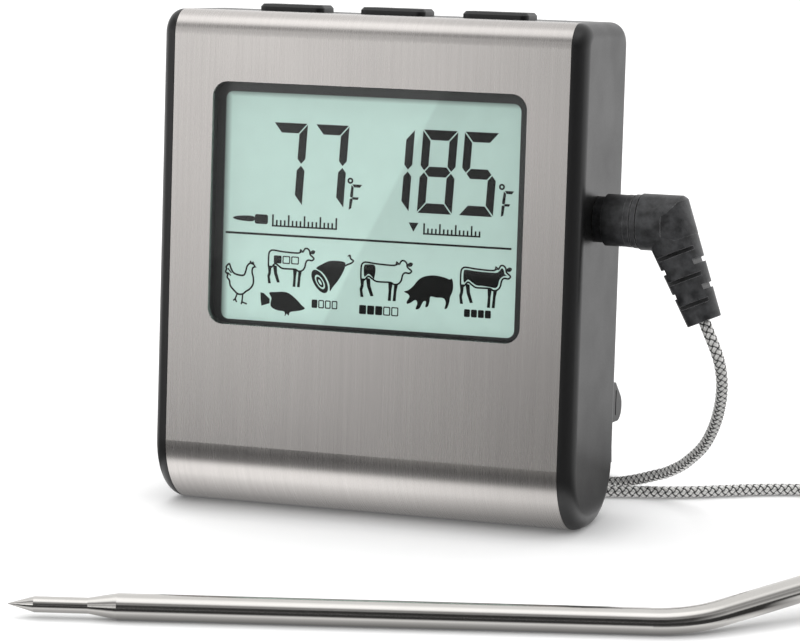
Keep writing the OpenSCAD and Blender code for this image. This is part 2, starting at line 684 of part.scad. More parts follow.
// Hanging part of the cable, held by the plug
plug_path = spline([boot_end - 1.3 * boot_dir, boot_end + 1.2 * boot_dir,
    [54.3, 1.0, 29.6], [54.85, 1.9, 26.9], [54.7, 3.7, 23.5], [53.6, 6.7, 19.5],
    [51.8, 10, 15.4], [49.0, 14, 11.2], [44.9, 18.4, 7.3], [42.4, 20.4, 5.6]], 4);
module cable_plug_end() color(cable_color) wire(plug_path, cable_r, 16, [0, 1, 0]);

// Cable lying on the table: a loose loop behind the case, then out to the side
run_path = spline([[40.6, 21.75, 4.6], [39.0, 22.5, 4.0], [34.8, 24.5, 2.4],
    [30.3, 26, 1.3], [22, 27.4, lie], [12, 28.0, lie], [2, 27.6, lie], [-6, 26.2, lie],
    [-10, 23, lie], [-7, 19.6, lie], [0, 18.0, lie], [10, 17.6, lie], [20, 18.5, lie],
    [31.7, 21.3, lie], [42.4, 24.6, lie], [53.9, 30.8, lie], [62, 33.4, lie],
    [72, 34.2, lie], [82, 32.2, lie], swing_pivot - swing_gap], 4);
module cable_run() color(cable_color) wire(run_path, cable_r, 16);

// Cable turning forwards and rising to the probe
tail_path = spline([swing_pivot + swing_gap, [97.3, 24.0, lie], [103.2, 18.2, 1.4],
    [107, 11, 3.0], [107.6, 3.2, 5.6], [105.3, -4.2, 7.7],
    lift_pivot + 3 * tail_dir, lift_pivot + 0.4 * tail_dir], 5);
module cable_tail() color(cable_color) wire(tail_path, cable_r, 16);
module cable_probe_end() color(cable_color)
    wire([ferrule_end - 2 * tail_dir, ferrule_end + tail_dir, lift_pivot - 0.4 * tail_dir],
        cable_r, 16);

// Places a child that is drawn along +Z at a point, along the probe's tail
module at_tail(p) translate(p) rotate([0, 0, atan2(tail_dir.y, tail_dir.x)])
    rotate([0, acos(tail_dir.z), 0]) children();

// Profile of the collar: radius, distance along the tail
ferrule_profile = [[0, 0], [2.15, 0], [2.35, 0.3], [2.35, 6.2], [2.0, 6.9], [2.0, 7.5],
    [2.3, 8.1], [2.3, 8.7], [1.9, 9.3], [1.9, 10.0], [1.6, ferrule_l], [0, ferrule_l]];
// Crimped collar over the end of the tube
module probe_ferrule() color([0.72, 0.72, 0.73])
    at_tail(tube_end - ferrule_lap * tail_dir) difference() {
        rotate_extrude() polygon(ferrule_profile);
        translate([0, 0, -1]) cylinder(r = probe_d / 2 + 0.02, h = ferrule_lap + 1.02);
        cylinder(r = cable_r + 0.02, h = 30);
    }

// Frame of the tube: origin at the start of the bend, x along the shaft, and the
// bend turning towards y
module tube_frame() translate(bend_start) rotate([0, 0, heading])
    rotate([bend_tilt, 0, 0]) children();
// Length of shaft from x0 to x1, with radius r0 at x0 and r1 at x1
module shaft(r0, x0, x1, r1) translate([x0, 0, 0]) rotate([0, 90, 0])
    cylinder(r1 = r0, r2 = r1, h = x1 - x0);
// Shaft from x0, bend and tail of one radius
module bent_rod(r, x0, extra) {
    shaft(r, x0, 0, r);
    translate([0, probe_bend_r, 0]) rotate([0, 0, -90])
        rotate_extrude(angle = probe_bend, $fn = 96)
            translate([probe_bend_r, 0]) circle(r, $fn = 64);
    translate([probe_bend_r * sin(probe_bend), probe_bend_r * (1 - cos(probe_bend)), 0])
        rotate([0, 0, probe_bend]) shaft(r, 0, probe_tail + extra, r);
}

// Hollow stainless tube: point, needle, shoulder, shaft, bend and tail
module probe_tube() color([0.74, 0.73, 0.71]) tube_frame() difference() {
    tip_x = -probe_straight;
    needle_x = tip_x + 3.8;
    shoulder_x = tip_x + 11.6;
    shaft_x = tip_x + 15.8;
    needle_r = needle_d / 2;
    needle_bore_r = 0.75;
    union() {
        shaft(0.08, tip_x, needle_x, needle_r);
        shaft(needle_r, needle_x, shoulder_x, needle_r);
        shaft(needle_r, shoulder_x, shaft_x, probe_d / 2);
        bent_rod(probe_d / 2, shaft_x, 0);
    }
    shaft(needle_bore_r, tip_x + 3, tip_x + 17, needle_bore_r);
    bent_rod(probe_d / 2 - 0.4, tip_x + 16, 1);
}

// Bead inside the needle, rounded towards the tip
module thermistor() color([0.15, 0.15, 0.40]) translate(probe_tip + 3.6 * shaft_dir)
    rotate([0, 0, heading]) rotate([0, 90, 0]) {
        bead_r = 0.6;
        translate([0, 0, bead_r]) sphere(r = bead_r);
        translate([0, 0, bead_r]) cylinder(r = bead_r, h = 1.8);
    }
module thermistor_leads() color([0.85, 0.84, 0.80])
    wire([probe_tip + 6.2 * shaft_dir, bend_start - 2 * shaft_dir,
        for (a = [0:4:probe_bend]) bend_point(a),
        bend_end + 2 * tail_dir, tube_end - 0.6 * tail_dir], 0.35, 8);

front_housing();
faceplate();
back_cover();
battery_door();
display_lens();
display_glass();
display_reflector();
display_frame();
zebra_strips();
circuit_board();
controller_chip();
board_components();
button_switches();
mode_button();
up_button();
down_button();
jack_socket();
jack_contacts();
buzzer();
battery();
battery_spring();
battery_contacts();
battery_wires();
magnets();
case_screws();
board_screws();
stand_leg();
stand_pins();
stand_foot_pad();
plug_tip();
plug_insulator();
plug_barrel();
plug_boot();
cable_plug_end();
cable_run();
cable_tail();
cable_probe_end();
probe_ferrule();
probe_tube();
thermistor();
thermistor_leads();
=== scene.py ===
"""Cooking thermometer: a leaning case with a display and three keys, and a probe on a braided lead.

Lengths are millimetres, turned into metres as meshes are made. The case faces -y and leans back
towards +y, its keys are on top, and +x is right as seen from the front. The lead leaves the plug
on the right, loops over the table behind the case and comes round to the probe lying in front.
"""
import bpy
import bmesh
import math
import numpy as np
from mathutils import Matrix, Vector
from mathutils.geometry import tessellate_polygon

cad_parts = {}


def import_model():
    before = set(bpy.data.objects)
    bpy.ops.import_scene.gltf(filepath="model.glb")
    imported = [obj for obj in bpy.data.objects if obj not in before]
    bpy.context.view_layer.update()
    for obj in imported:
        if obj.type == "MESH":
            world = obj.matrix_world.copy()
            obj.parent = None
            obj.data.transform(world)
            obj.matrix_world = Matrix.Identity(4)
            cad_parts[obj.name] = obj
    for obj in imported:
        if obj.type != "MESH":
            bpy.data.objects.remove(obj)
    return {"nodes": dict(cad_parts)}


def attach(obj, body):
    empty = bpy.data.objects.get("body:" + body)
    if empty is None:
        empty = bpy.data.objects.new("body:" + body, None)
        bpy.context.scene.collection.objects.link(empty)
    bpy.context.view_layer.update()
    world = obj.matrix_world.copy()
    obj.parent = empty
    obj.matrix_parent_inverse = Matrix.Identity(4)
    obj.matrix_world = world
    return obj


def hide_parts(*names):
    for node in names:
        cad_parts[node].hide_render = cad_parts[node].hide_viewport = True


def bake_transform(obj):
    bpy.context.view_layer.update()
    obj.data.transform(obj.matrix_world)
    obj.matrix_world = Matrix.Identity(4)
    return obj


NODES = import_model()["nodes"]
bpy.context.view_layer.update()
MM = 0.001
scene = bpy.context.scene

# ---------------------------------------------------------------- driving dimensions
LEAN = math.radians(4.96)
BOTTOM_R = 10.325           # radius of the case's bottom, whose axis it leans about
AXIS_Z = 10.175             # height of that axis over the table
CASE_H = 78.7
DISPLAY_Y = 3.0             # depth of the display face in the upright case
PROBE_HEADING = math.radians(14.52)
COS_LEAN, SIN_LEAN = math.cos(LEAN), math.sin(LEAN)


def leaned(point):
    """A point of the upright case, moved to its leaning place."""
    x, y, z = point
    return np.array([x, (y - BOTTOM_R) * COS_LEAN + (z - BOTTOM_R) * SIN_LEAN,
                     AXIS_Z - (y - BOTTOM_R) * SIN_LEAN + (z - BOTTOM_R) * COS_LEAN])


def add_object(name, data):
    ob = bpy.data.objects.new(name, data)
    scene.collection.objects.link(ob)
    return ob


def flat_shaded(name, verts, faces, material):
    mesh = bpy.data.meshes.new(name)
    mesh.from_pydata((np.array(verts) * MM).tolist(), [], faces)
    mesh.validate()
    mesh.polygons.foreach_set("use_smooth", [False] * len(mesh.polygons))
    mesh.update()
    mesh.materials.append(material)
    return add_object(name, mesh)


# ---------------------------------------------------------------- node helpers
class Nodes:
    """Adds shader nodes to a tree. Any argument may be a value or another node's socket."""

    def __init__(self, tree, output_kind):
        self.tree = tree
        tree.nodes.clear()
        self.out = tree.nodes.new(output_kind)

    def put(self, socket, value):
        if value is None:
            return
        if isinstance(value, bpy.types.NodeSocket):
            self.tree.links.new(value, socket)
        else:
            if isinstance(value, tuple) and len(value) == 3 and len(socket.default_value) == 4:
                value += (1.0,)
            socket.default_value = value

    def node(self, kind, *inputs, **named):
        """Lower-case names are node settings, capitalised names are inputs (_ for a space)."""
        node = self.tree.nodes.new("ShaderNode" + kind)
        for key, value in named.items():
            if key[0].islower():
                setattr(node, key, value)
            else:
                self.put(node.inputs[key.replace("_", " ")], value)
        for i, value in enumerate(inputs):
            self.put(node.inputs[i], value)
        return node

    def finish(self, shader):
        self.tree.links.new(shader, self.out.inputs[0])

    def math(self, operation, *values, clamp=False):
        values = (values + (0.0, 0.0))[:3]
        return self.node("Math", *values, operation=operation, use_clamp=clamp).outputs[0]

    def add(self, a, b):
        return self.math("ADD", a, b)

    def minus(self, a, b):
        return self.math("SUBTRACT", a, b)

    def times(self, a, b, clamp=False):
        return self.math("MULTIPLY", a, b, clamp=clamp)

    def weigh(self, a, b, share):
        """Sum of the two, with a counting for share and b for the rest."""
        return self.add(self.times(a, share), self.times(b, 1.0 - share))

    def remap(self, value, from_min, from_max, to_min, to_max):
        return self.node("MapRange", Value=value, From_Min=from_min, From_Max=from_max,
                         To_Min=to_min, To_Max=to_max).outputs[0]

    def rise(self, value, start, end):
        """0 at start, 1 at end."""
        return self.remap(value, start, end, 0.0, 1.0)

    def spread(self, noise, low, high):
        """Noise, which mostly lies within 0.3 to 0.7, stretched over low to high."""
        return self.remap(noise, 0.3, 0.7, low, high)

    def ramp(self, fac, stops, interp="LINEAR"):
        """Stops are (position, grey or colour)."""
        node = self.node("ValToRGB", fac)
        ramp = node.color_ramp
        ramp.interpolation = interp
        while len(ramp.elements) > 1:
            ramp.elements.remove(ramp.elements[-1])
        for i, (place, colour) in enumerate(stops):
            stop = ramp.elements.new(place) if i else ramp.elements[0]
            stop.position = place
            stop.color = (colour if isinstance(colour, tuple) else (colour,) * 3) + (1,)
        return node.outputs[0]

    def mix(self, fac, a, b, how="MIX"):
        node = self.node("Mix", data_type="RGBA", blend_type=how, Factor=fac)
        self.put(node.inputs[6], a)
        self.put(node.inputs[7], b)
        return node.outputs[2]

    def tinted(self, colour, factor):
        return self.mix(1.0, colour, factor, "MULTIPLY")

    def split(self, vector):
        return self.node("SeparateXYZ", vector).outputs

    def pos(self, stretch=(1, 1, 1), rot=(0, 0, 0), shift=(0, 0, 0)):
        """Object coordinates in millimetres times stretch."""
        coord = self.node("TexCoord").outputs["Object"]
        scale = tuple(1000.0 * s for s in stretch)
        return self.node("Mapping", coord, Scale=scale, Rotation=rot, Location=shift).outputs[0]

    def xyz(self):
        return self.split(self.pos())

    def noise(self, where, scale=1.0, detail=3.0, rough=0.55):
        """Where is a position, or the stretch to give one."""
        if isinstance(where, tuple):
            where = self.pos(where)
        return self.node("TexNoise", Vector=where, Scale=scale, Detail=detail,
                         Roughness=rough).outputs["Fac"]

    def soft_edge(self, radius):
        return self.node("Bevel", samples=4, Radius=radius * MM).outputs[0]

    def edge_mask(self, radius, start=0.02, end=0.25):
        """1 along edges, 0 on flats; start and end are how far the normal has to turn."""
        bevel = self.soft_edge(radius)
        normal = self.node("NewGeometry").outputs["Normal"]
        dot = self.node("VectorMath", bevel, normal, operation="DOT_PRODUCT").outputs["Value"]
        return self.rise(self.minus(1.0, dot), start, end)

    def bump(self, height, depth, strength, edge=None):
        """Relief of the given depth, over edges rounded by the radius edge."""
        normal = self.soft_edge(edge) if edge else None
        return self.node("Bump", Height=height, Distance=depth * MM, Strength=strength,
                         Normal=normal).outputs[0]


MATS = {}


class Mat(Nodes):
    """A new material, kept in MATS under its name."""

    def __init__(self, name):
        self.material = bpy.data.materials.new(name)
        self.material.use_nodes = True
        super().__init__(self.material.node_tree, "ShaderNodeOutputMaterial")
        MATS[name] = self.material

    def surface(self, **inputs):
        self.finish(self.node("BsdfPrincipled", **inputs).outputs[0])


def grey(value):
    return (value,) * 3


# ---------------------------------------------------------------- general materials
def moulded(name, base, rough, worn, grain=0.22, depth=0.012, tint=(1.0, 1.0, 1.04)):
    """Moulded plastic with a grain of the given size and depth; worn pales the smoother edges."""
    m = Mat(name)
    here = m.pos()
    slow = m.noise(here, scale=0.09)
    fine = m.noise(here, scale=1.0 / grain, detail=2.0, rough=0.6)
    cells = m.node("TexVoronoi", Vector=here, Scale=0.8 / grain).outputs["Distance"]
    height = m.weigh(fine, cells, share=0.6)
    dark, pale = (tuple(base * t * shade for t in tint) for shade in (0.82, 1.2))
    colour = m.mix(slow, dark, pale)
    # edges are rubbed unevenly
    patches = m.remap(m.noise(here, scale=0.7, detail=4.0), 0.35, 0.7, 0.15, 1.0)
    rubbed = m.times(m.edge_mask(radius=0.22), patches, clamp=True)
    colour = m.mix(m.times(rubbed, worn), colour, grey(min(1.0, base * 3.2)))
    gloss = m.add(m.spread(slow, rough - 0.04, rough + 0.05), m.spread(fine, -0.03, 0.03))
    gloss = m.minus(gloss, m.times(rubbed, 0.08))
    m.surface(Base_Color=colour, Roughness=gloss,
              Normal=m.bump(height, depth=depth, strength=0.7, edge=0.12))


def rubber(name, base, rough):
    """Finely grained rubber with a little dust."""
    m = Mat(name)
    here = m.pos()
    slow = m.noise(here, scale=0.25)
    fine = m.noise(here, scale=1.0 / 0.16, rough=0.65)
    dust = m.remap(m.noise(here, scale=1.3, detail=5.0, rough=0.7), 0.55, 0.8, 0.0, 0.35)
    colour = m.mix(slow, grey(base * 0.8), grey(base * 1.25))
    colour = m.mix(dust, colour, (base * 2.4, base * 2.4, base * 2.5))
    m.surface(Base_Color=colour, Roughness=m.spread(fine, rough - 0.05, rough + 0.06),
              Specular_IOR_Level=0.45, Sheen_Weight=0.08,
              Normal=m.bump(fine, depth=0.015, strength=0.6, edge=0.12))


def plain_metal(name, base, rough, streak=(0.1, 0.1, 3.0)):
    """Turned, stamped or plated metal: directional tooling marks and a slight tarnish."""
    m = Mat(name)
    marks = m.noise(streak, scale=3.0, detail=4.0, rough=0.7)
    tarnish = m.rise(m.noise(m.pos(), scale=0.6), 0.3, 0.75)
    pale = tuple(min(1.0, c * 1.06) for c in base)
    dark = tuple(c * 0.76 for c in base)
    m.surface(Base_Color=m.mix(tarnish, pale, dark), Metallic=1.0,
              Roughness=m.spread(marks, max(0.03, rough - 0.05), rough + 0.07),
              Normal=m.bump(marks, depth=0.004, strength=0.5, edge=0.08))


# ---------------------------------------------------------------- materials of single pieces
def brushed_plate():
    """Stainless sheet with vertical hairlines that follow it round the bends."""
    m = Mat("brushed_plate")
    coarse = m.noise((9.0, 0.045, 0.045), rough=0.75)
    fine = m.noise(m.pos((24.0, 0.12, 0.12), shift=(3, 7, 1)), detail=2.0, rough=0.7)
    band = m.noise(m.pos((1.1, 0.012, 0.012), shift=(11, 2, 5)), rough=0.6)
    blot = m.noise((0.05, 0.05, 0.05), rough=0.5)
    hair = m.weigh(coarse, fine, share=0.65)
    shade = m.add(m.spread(hair, 0.945, 1.055), m.spread(band, -0.035, 0.035))
    shade = m.add(shade, m.spread(blot, -0.015, 0.015))
    # painted shade: darker towards the right edge, and more so in the lower right corner, standing
    # in for darker reflections there
    x, _, z = m.xyz()
    across = [(0.0, 0.97), (0.25, 1.0), (0.6, 0.97), (0.85, 0.89), (1.0, 0.85)]
    shade = m.times(shade, m.ramp(m.rise(x, -33.0, 33.0), across))
    corner_shade = m.times(m.rise(x, -8.0, 33.0), m.rise(z, 55.0, 28.0))
    shade = m.times(shade, m.remap(corner_shade, 0.0, 1.0, 1.0, 0.82))
    gloss = m.add(m.spread(hair, 0.22, 0.30), m.spread(blot, -0.02, 0.02))
    tangent = m.node("Tangent", direction_type="RADIAL", axis="X").outputs[0]
    m.surface(Base_Color=m.tinted((0.665, 0.635, 0.614), shade), Metallic=1.0, Roughness=gloss,
              Anisotropic=0.25, Tangent=tangent, Normal=m.bump(hair, depth=0.006, strength=0.35))


# Painted sheen over the upper left of the window, standing in for a reflection in the lens: a point
# on its edge, the edge's normal, and how far left and down the edge falls on the display behind the
# lens.
SHEEN_X, SHEEN_Z = 11.73, 67.0
SHEEN_NORMAL = (-0.891, 0.4545)
ON_DISPLAY = (1.0, 0.54)


def sheen_side(m, x, z, offset=(0.0, 0.0)):
    """1 in the sheen, 0 on the other side of its slanting edge."""
    side = m.add(m.times(m.minus(x, SHEEN_X - offset[0]), SHEEN_NORMAL[0]),
                 m.times(m.minus(z, SHEEN_Z - offset[1]), SHEEN_NORMAL[1]))
    return m.rise(side, -0.25, 0.35)


def lcd_face():
    """Grey-green display with painted light: a painted shadow of its frame along the top and left
    sides, paler under the painted sheen, and a faint painted glow.
    """
    m = Mat("lcd")
    x, _, z = m.xyz()
    foot_z = AXIS_Z + (BOTTOM_R - DISPLAY_Y) * SIN_LEAN
    upright_z = m.add(m.times(m.minus(z, foot_z), 1.0 / COS_LEAN), BOTTOM_R)
    # painted shadow of the frame along the left and top edges
    left = m.rise(x, -25.1, -23.75)
    top = m.rise(upright_z, 66.3, 65.2)
    lit = m.math("SMOOTH_MIN", left, top, 0.25)
    lit = m.math("POWER", m.math("MAXIMUM", lit), 0.8)
    film = m.noise((0.35, 0.35, 0.35))
    grain = m.noise((9.0, 9.0, 9.0), detail=2.0)
    shade = m.add(m.spread(film, 0.975, 1.02), m.spread(grain, -0.015, 0.015))
    # painted sheen: paler on the sheen side of the slanting edge
    shade = m.times(shade, m.remap(sheen_side(m, x, z, ON_DISPLAY), 0.0, 1.0, 1.0, 1.15))
    shade = m.times(shade, m.remap(z, 46.0, 31.0, 1.0, 1.17))      # paler towards the bottom
    colour = m.mix(lit, (0.035, 0.05, 0.046), m.tinted((0.41, 0.54, 0.50), shade))
    # painted light: the display glows faintly though nothing lights it from behind
    m.surface(Base_Color=m.tinted(colour, grey(0.85)), Roughness=0.42, Specular_IOR_Level=0.3,
              Emission_Color=colour, Emission_Strength=0.50)


def lens_clear():
    """Clear acrylic with weak reflections, and the sheen painted as a glow only the camera sees."""
    m = Mat("lens")
    x, _, z = m.xyz()
    sheen = sheen_side(m, x, z)
    fresnel = m.node("Fresnel", IOR=1.49).outputs[0]
    scratch = m.noise(m.pos((2.0, 2.0, 0.2), rot=(0, 0.5, 0)), detail=5.0, rough=0.8)
    clear = m.node("BsdfTransparent", Color=(0.975, 0.985, 0.98)).outputs[0]
    gloss = m.node("BsdfGlossy", Color=grey(1.0),
                   Roughness=m.remap(scratch, 0.5, 0.8, 0.015, 0.07)).outputs[0]
    base = m.node("MixShader", m.times(fresnel, 0.28), clear, gloss).outputs[0]
    # painted sheen: a faint glow on the lens front, seen only by the camera
    painted_glare = m.node("Emission", Color=(1.0, 1.0, 0.99), Strength=1.0).outputs[0]
    normal_y = m.split(m.node("NewGeometry").outputs["Normal"])[1]
    faces_front = m.math("LESS_THAN", normal_y, -0.5)
    camera_ray = m.node("LightPath").outputs["Is Camera Ray"]
    amount = m.times(m.times(m.times(sheen, faces_front), camera_ray), 0.006)
    m.finish(m.node("MixShader", amount, base, painted_glare).outputs[0])


def board_mask():
    """Green circuit board with a brick pattern for its tracks."""
    m = Mat("board")
    here = m.pos((1, 0, 1))
    blot = m.noise((0.5, 0.5, 0.5), detail=2.0)
    tracks = m.node("TexBrick", Vector=here, Scale=0.35, Mortar_Size=0.06,
                    Color1=(0.012, 0.075, 0.03), Color2=(0.016, 0.095, 0.04),
                    Mortar=(0.03, 0.15, 0.07))
    colour = m.mix(m.spread(blot, 0.0, 0.25), tracks.outputs[0], (0.008, 0.05, 0.02))
    m.surface(Base_Color=colour, Roughness=0.3, Coat_Weight=0.4, Coat_Roughness=0.15,
              Normal=m.bump(tracks.outputs["Fac"], depth=0.03, strength=0.6, edge=0.08))


def battery_skin():
    """Battery sleeve, dark and copper between bare ends."""
    m = Mat("battery_sleeve")
    dark, bare = (0.02, 0.035, 0.06), (0.62, 0.62, 0.63)
    bands = [(0.0, (0.55, 0.55, 0.56)), (0.045, dark), (0.70, dark), (0.705, (0.55, 0.33, 0.09)),
             (0.94, (0.6, 0.37, 0.11)), (0.945, bare), (1.0, bare)]
    band = m.ramp(m.rise(m.xyz()[0], -23.0, 23.0), bands, "CONSTANT")
    scuff = m.noise((0.4, 2.0, 2.0), detail=4.0)
    m.surface(Base_Color=m.mix(m.remap(scuff, 0.55, 0.8, 0.0, 0.3), band, grey(0.5)),
              Roughness=m.spread(scuff, 0.22, 0.35), Metallic=0.5, Coat_Weight=0.5,
              Coat_Roughness=0.1)


def probe_metal():
    """Polished stainless tube with faint rings and lengthwise drawing marks."""
    m = Mat("probe_steel")
    turn = (0, 0, -PROBE_HEADING)
    drawn = m.noise(m.pos((0.05, 2.6, 2.6), rot=turn), scale=1.6, detail=4.0, rough=0.7)
    rings = m.noise(m.pos((6.0, 0.25, 0.25), rot=turn), rough=0.7)
    slow = m.noise((0.12, 0.12, 0.12))
    marks = m.weigh(drawn, rings, share=0.6)
    m.surface(Base_Color=m.mix(slow, (0.66, 0.64, 0.61), (0.74, 0.725, 0.70)), Metallic=1.0,
              Roughness=m.spread(marks, 0.11, 0.2),
              Normal=m.bump(marks, depth=0.003, strength=0.4, edge=0.06))


def braid_wire():
    """Braid of the lead with painted shade: bright on the crowns, near black where strands dip and
    at their sides.
    """
    m = Mat("braid")
    fine = m.noise((6, 6, 6), rough=0.7)
    tone = m.noise((0.6, 0.6, 0.6), detail=2.0)
    across, lift = (m.node("Attribute", attribute_name=name, attribute_type="GEOMETRY")
                    .outputs["Fac"] for name in ("wire_line", "wire_lift"))
    # four wires side by side in each strand
    lines = m.math("ABSOLUTE", m.math("SINE", m.times(across, 4.0 * math.pi)))
    # painted shade: darker in the grooves between the wires
    grooves = m.remap(lines, 0.0, 0.5, 0.62, 1.0)
    off_centre = m.math("ABSOLUTE", m.minus(across, 0.5))
    # painted shade: full colour on the crowns, near black where strands dip and at their sides
    crown = m.times(m.rise(lift, 0.34, 0.62), m.remap(off_centre, 0.27, 0.40, 1.0, 0.02))
    bright = m.tinted(m.mix(tone, (0.86, 0.85, 0.83), (0.96, 0.95, 0.93)), grooves)
    height = m.weigh(grooves, fine, share=0.8)
    m.surface(Base_Color=m.mix(crown, grey(0.012), bright),
              Metallic=m.remap(crown, 0.0, 1.0, 0.2, 0.45), Roughness=m.spread(fine, 0.24, 0.36),
              Normal=m.bump(height, depth=0.02, strength=0.8))


def boot_rubber():
    """Plug elbow: cloudy dark grey, with a painted highlight along the rims and painted shade next
    to the case.
    """
    m = Mat("boot_rubber")
    here = m.pos()
    cloud = m.noise(here, scale=0.55, detail=5.0, rough=0.65)
    fine = m.noise(here, scale=5.5, rough=0.65)
    colour = m.mix(m.rise(cloud, 0.35, 0.65), (0.014, 0.0143, 0.0152), (0.056, 0.057, 0.060))
    # painted highlight: rims paled to look like edges catching the light
    rim_highlight = m.edge_mask(radius=0.16, start=0.03, end=0.3)
    colour = m.mix(m.times(rim_highlight, 0.75), colour, (0.30, 0.30, 0.305))
    # painted shade: darker and less glossy next to the case, where it sits in shadow
    neck_shade = m.remap(m.split(here)[0], 36.6, 40.6, 0.24, 1.0)
    height = m.weigh(fine, cloud, share=0.6)
    m.surface(Base_Color=m.tinted(colour, neck_shade), Roughness=m.spread(fine, 0.34, 0.46),
              Specular_IOR_Level=m.times(neck_shade, 0.5),
              Normal=m.bump(height, depth=0.045, strength=0.9, edge=0.12))


def ink():
    """Display segments, painted slightly paler under the painted sheen."""
    m = Mat("display_ink")
    mottle = m.noise((3, 3, 3), detail=2.0)
    x, _, z = m.xyz()
    # painted sheen: the ink is paler on the sheen side
    shade = m.remap(sheen_side(m, x, z, ON_DISPLAY), 0.0, 1.0, 0.004, 0.010)
    shade = m.times(shade, m.spread(mottle, 0.9, 1.1))
    m.surface(Base_Color=m.tinted((1.0, 1.08, 1.06), shade), Roughness=0.45,
              Specular_IOR_Level=0.12)


moulded("case_plastic", base=0.0088, rough=0.34, grain=0.24, depth=0.010, worn=0.18)
brushed_plate()
moulded("cover_plastic", base=0.0115, rough=0.42, grain=0.34, depth=0.022, worn=0.25)
moulded("door_plastic", base=0.0100, rough=0.38, grain=0.30, depth=0.018, worn=0.35)
moulded("stand_plastic", base=0.0095, rough=0.40, grain=0.28, depth=0.016, worn=0.4)
moulded("print_and_recess_shade", base=0.026, rough=0.36, grain=0.5, depth=0.004, worn=0.0)
lens_clear()
lcd_face()
moulded("reflector", base=0.62, rough=0.35, grain=0.2, depth=0.004, worn=0.0, tint=(1, 1.02, 1))
moulded("carrier_plastic", base=0.52, rough=0.45, grain=0.3, depth=0.01, worn=0.1,
        tint=(1, 1, 0.96))
rubber("elastomer", base=0.09, rough=0.6)
board_mask()
moulded("chip", base=0.012, rough=0.5, grain=0.12, depth=0.008, worn=0.2)
plain_metal("components", base=(0.60, 0.60, 0.58), rough=0.3)
moulded("switch_plastic", base=0.02, rough=0.42, worn=0.2)
moulded("key_rubber", base=0.0135, rough=0.36, grain=0.16, depth=0.010, worn=0.35)
moulded("socket_plastic", base=0.009, rough=0.35, worn=0.3)
plain_metal("contact_brass", base=(0.72, 0.52, 0.22), rough=0.25)
plain_metal("buzzer_brass", base=(0.70, 0.53, 0.25), rough=0.3)
battery_skin()
plain_metal("spring_steel", base=(0.68, 0.68, 0.67), rough=0.2)
rubber("wire_cover", base=0.2, rough=0.45)
plain_metal("magnet_nickel", base=(0.60, 0.585, 0.56), rough=0.22, streak=(1.5, 0.1, 1.5))
plain_metal("screw_steel", base=(0.55, 0.55, 0.56), rough=0.28)
rubber("foot_rubber", base=0.012, rough=0.7)
plain_metal("plug_metal", base=(0.70, 0.68, 0.63), rough=0.16, streak=(2.5, 0.1, 0.1))
moulded("plug_ring", base=0.01, rough=0.4, worn=0.1)
boot_rubber()
braid_wire()
plain_metal("ferrule_steel", base=(0.64, 0.63, 0.61), rough=0.2, streak=(2.2, 2.2, 0.2))
probe_metal()
rubber("sensor_glass", base=0.03, rough=0.2)
rubber("lead_wire", base=0.55, rough=0.5)
rubber("core", base=0.02, rough=0.6)
ink()
moulded("key_print", base=0.45, rough=0.45, grain=0.2, depth=0.006, worn=0.0)

# CAD piece: material
PIECES = {
    "front_housing": "case_plastic", "faceplate": "brushed_plate", "back_cover": "cover_plastic",
    "battery_door": "door_plastic", "display_lens": "lens", "display_glass": "lcd",
    "display_reflector": "reflector", "display_frame": "carrier_plastic",
    "zebra_strips": "elastomer", "circuit_board": "board", "controller_chip": "chip",
    "board_components": "components", "button_switches": "switch_plastic",
    "mode_button": "key_rubber", "up_button": "key_rubber", "down_button": "key_rubber",
    "jack_socket": "socket_plastic", "jack_contacts": "contact_brass", "buzzer": "buzzer_brass",
    "battery": "battery_sleeve", "battery_spring": "spring_steel",
    "battery_contacts": "spring_steel", "battery_wires": "wire_cover",
    "magnets": "magnet_nickel", "case_screws": "screw_steel", "board_screws": "screw_steel",
    "stand_leg": "stand_plastic", "stand_pins": "screw_steel", "stand_foot_pad": "foot_rubber",
    "plug_tip": "plug_metal", "plug_insulator": "plug_ring", "plug_barrel": "plug_metal",
    "plug_boot": "boot_rubber", "cable_plug_end": "braid", "cable_run": "braid",
    "cable_tail": "braid", "cable_probe_end": "braid", "probe_ferrule": "ferrule_steel",
    "probe_tube": "probe_steel", "thermistor": "sensor_glass", "thermistor_leads": "lead_wire",
}
for piece, material_name in PIECES.items():
    ob = NODES[piece]
    ob.data.materials.clear()
    ob.data.materials.append(MATS[material_name])


# ---------------------------------------------------------------- outlines in the x-z plane
def area(loop):
    """Twice the area inside a loop, positive when it runs anticlockwise."""
    return sum(x0 * z1 - x1 * z0
               for (x0, z0), (x1, z1) in zip(loop, list(loop[1:]) + [loop[0]]))


def smooth_line(points, steps, closed=False):
    """Catmull-Rom curve through the points, with so many steps between neighbours."""
    p = [np.array(q, float) for q in points]
    m = len(p)
    line = []
    for i in range(m if closed else m - 1):
        a = p[(i - 1) % m] if closed or i else p[0]
        b, c = p[i], p[(i + 1) % m]
        d = p[(i + 2) % m] if closed or i < m - 2 else p[-1]
        for j in range(steps):
            t = j / steps
            line.append(0.5 * (2 * b + (c - a) * t + (2 * a - 5 * b + 4 * c - d) * t * t
                               + (3 * b - a - 3 * c + d) * t ** 3))
    if not closed:
        line.append(p[-1])
    return line


def rounded_rect(x0, x1, z0, z1, r, steps):
    points = []
    for cx, cz, start in ((x1 - r, z1 - r, 0), (x0 + r, z1 - r, 90), (x0 + r, z0 + r, 180),
                          (x1 - r, z0 + r, 270)):
        for k in range(steps + 1):
            angle = math.radians(start + 90 * k / steps)
            points.append((cx + r * math.cos(angle), cz + r * math.sin(angle)))
    return points


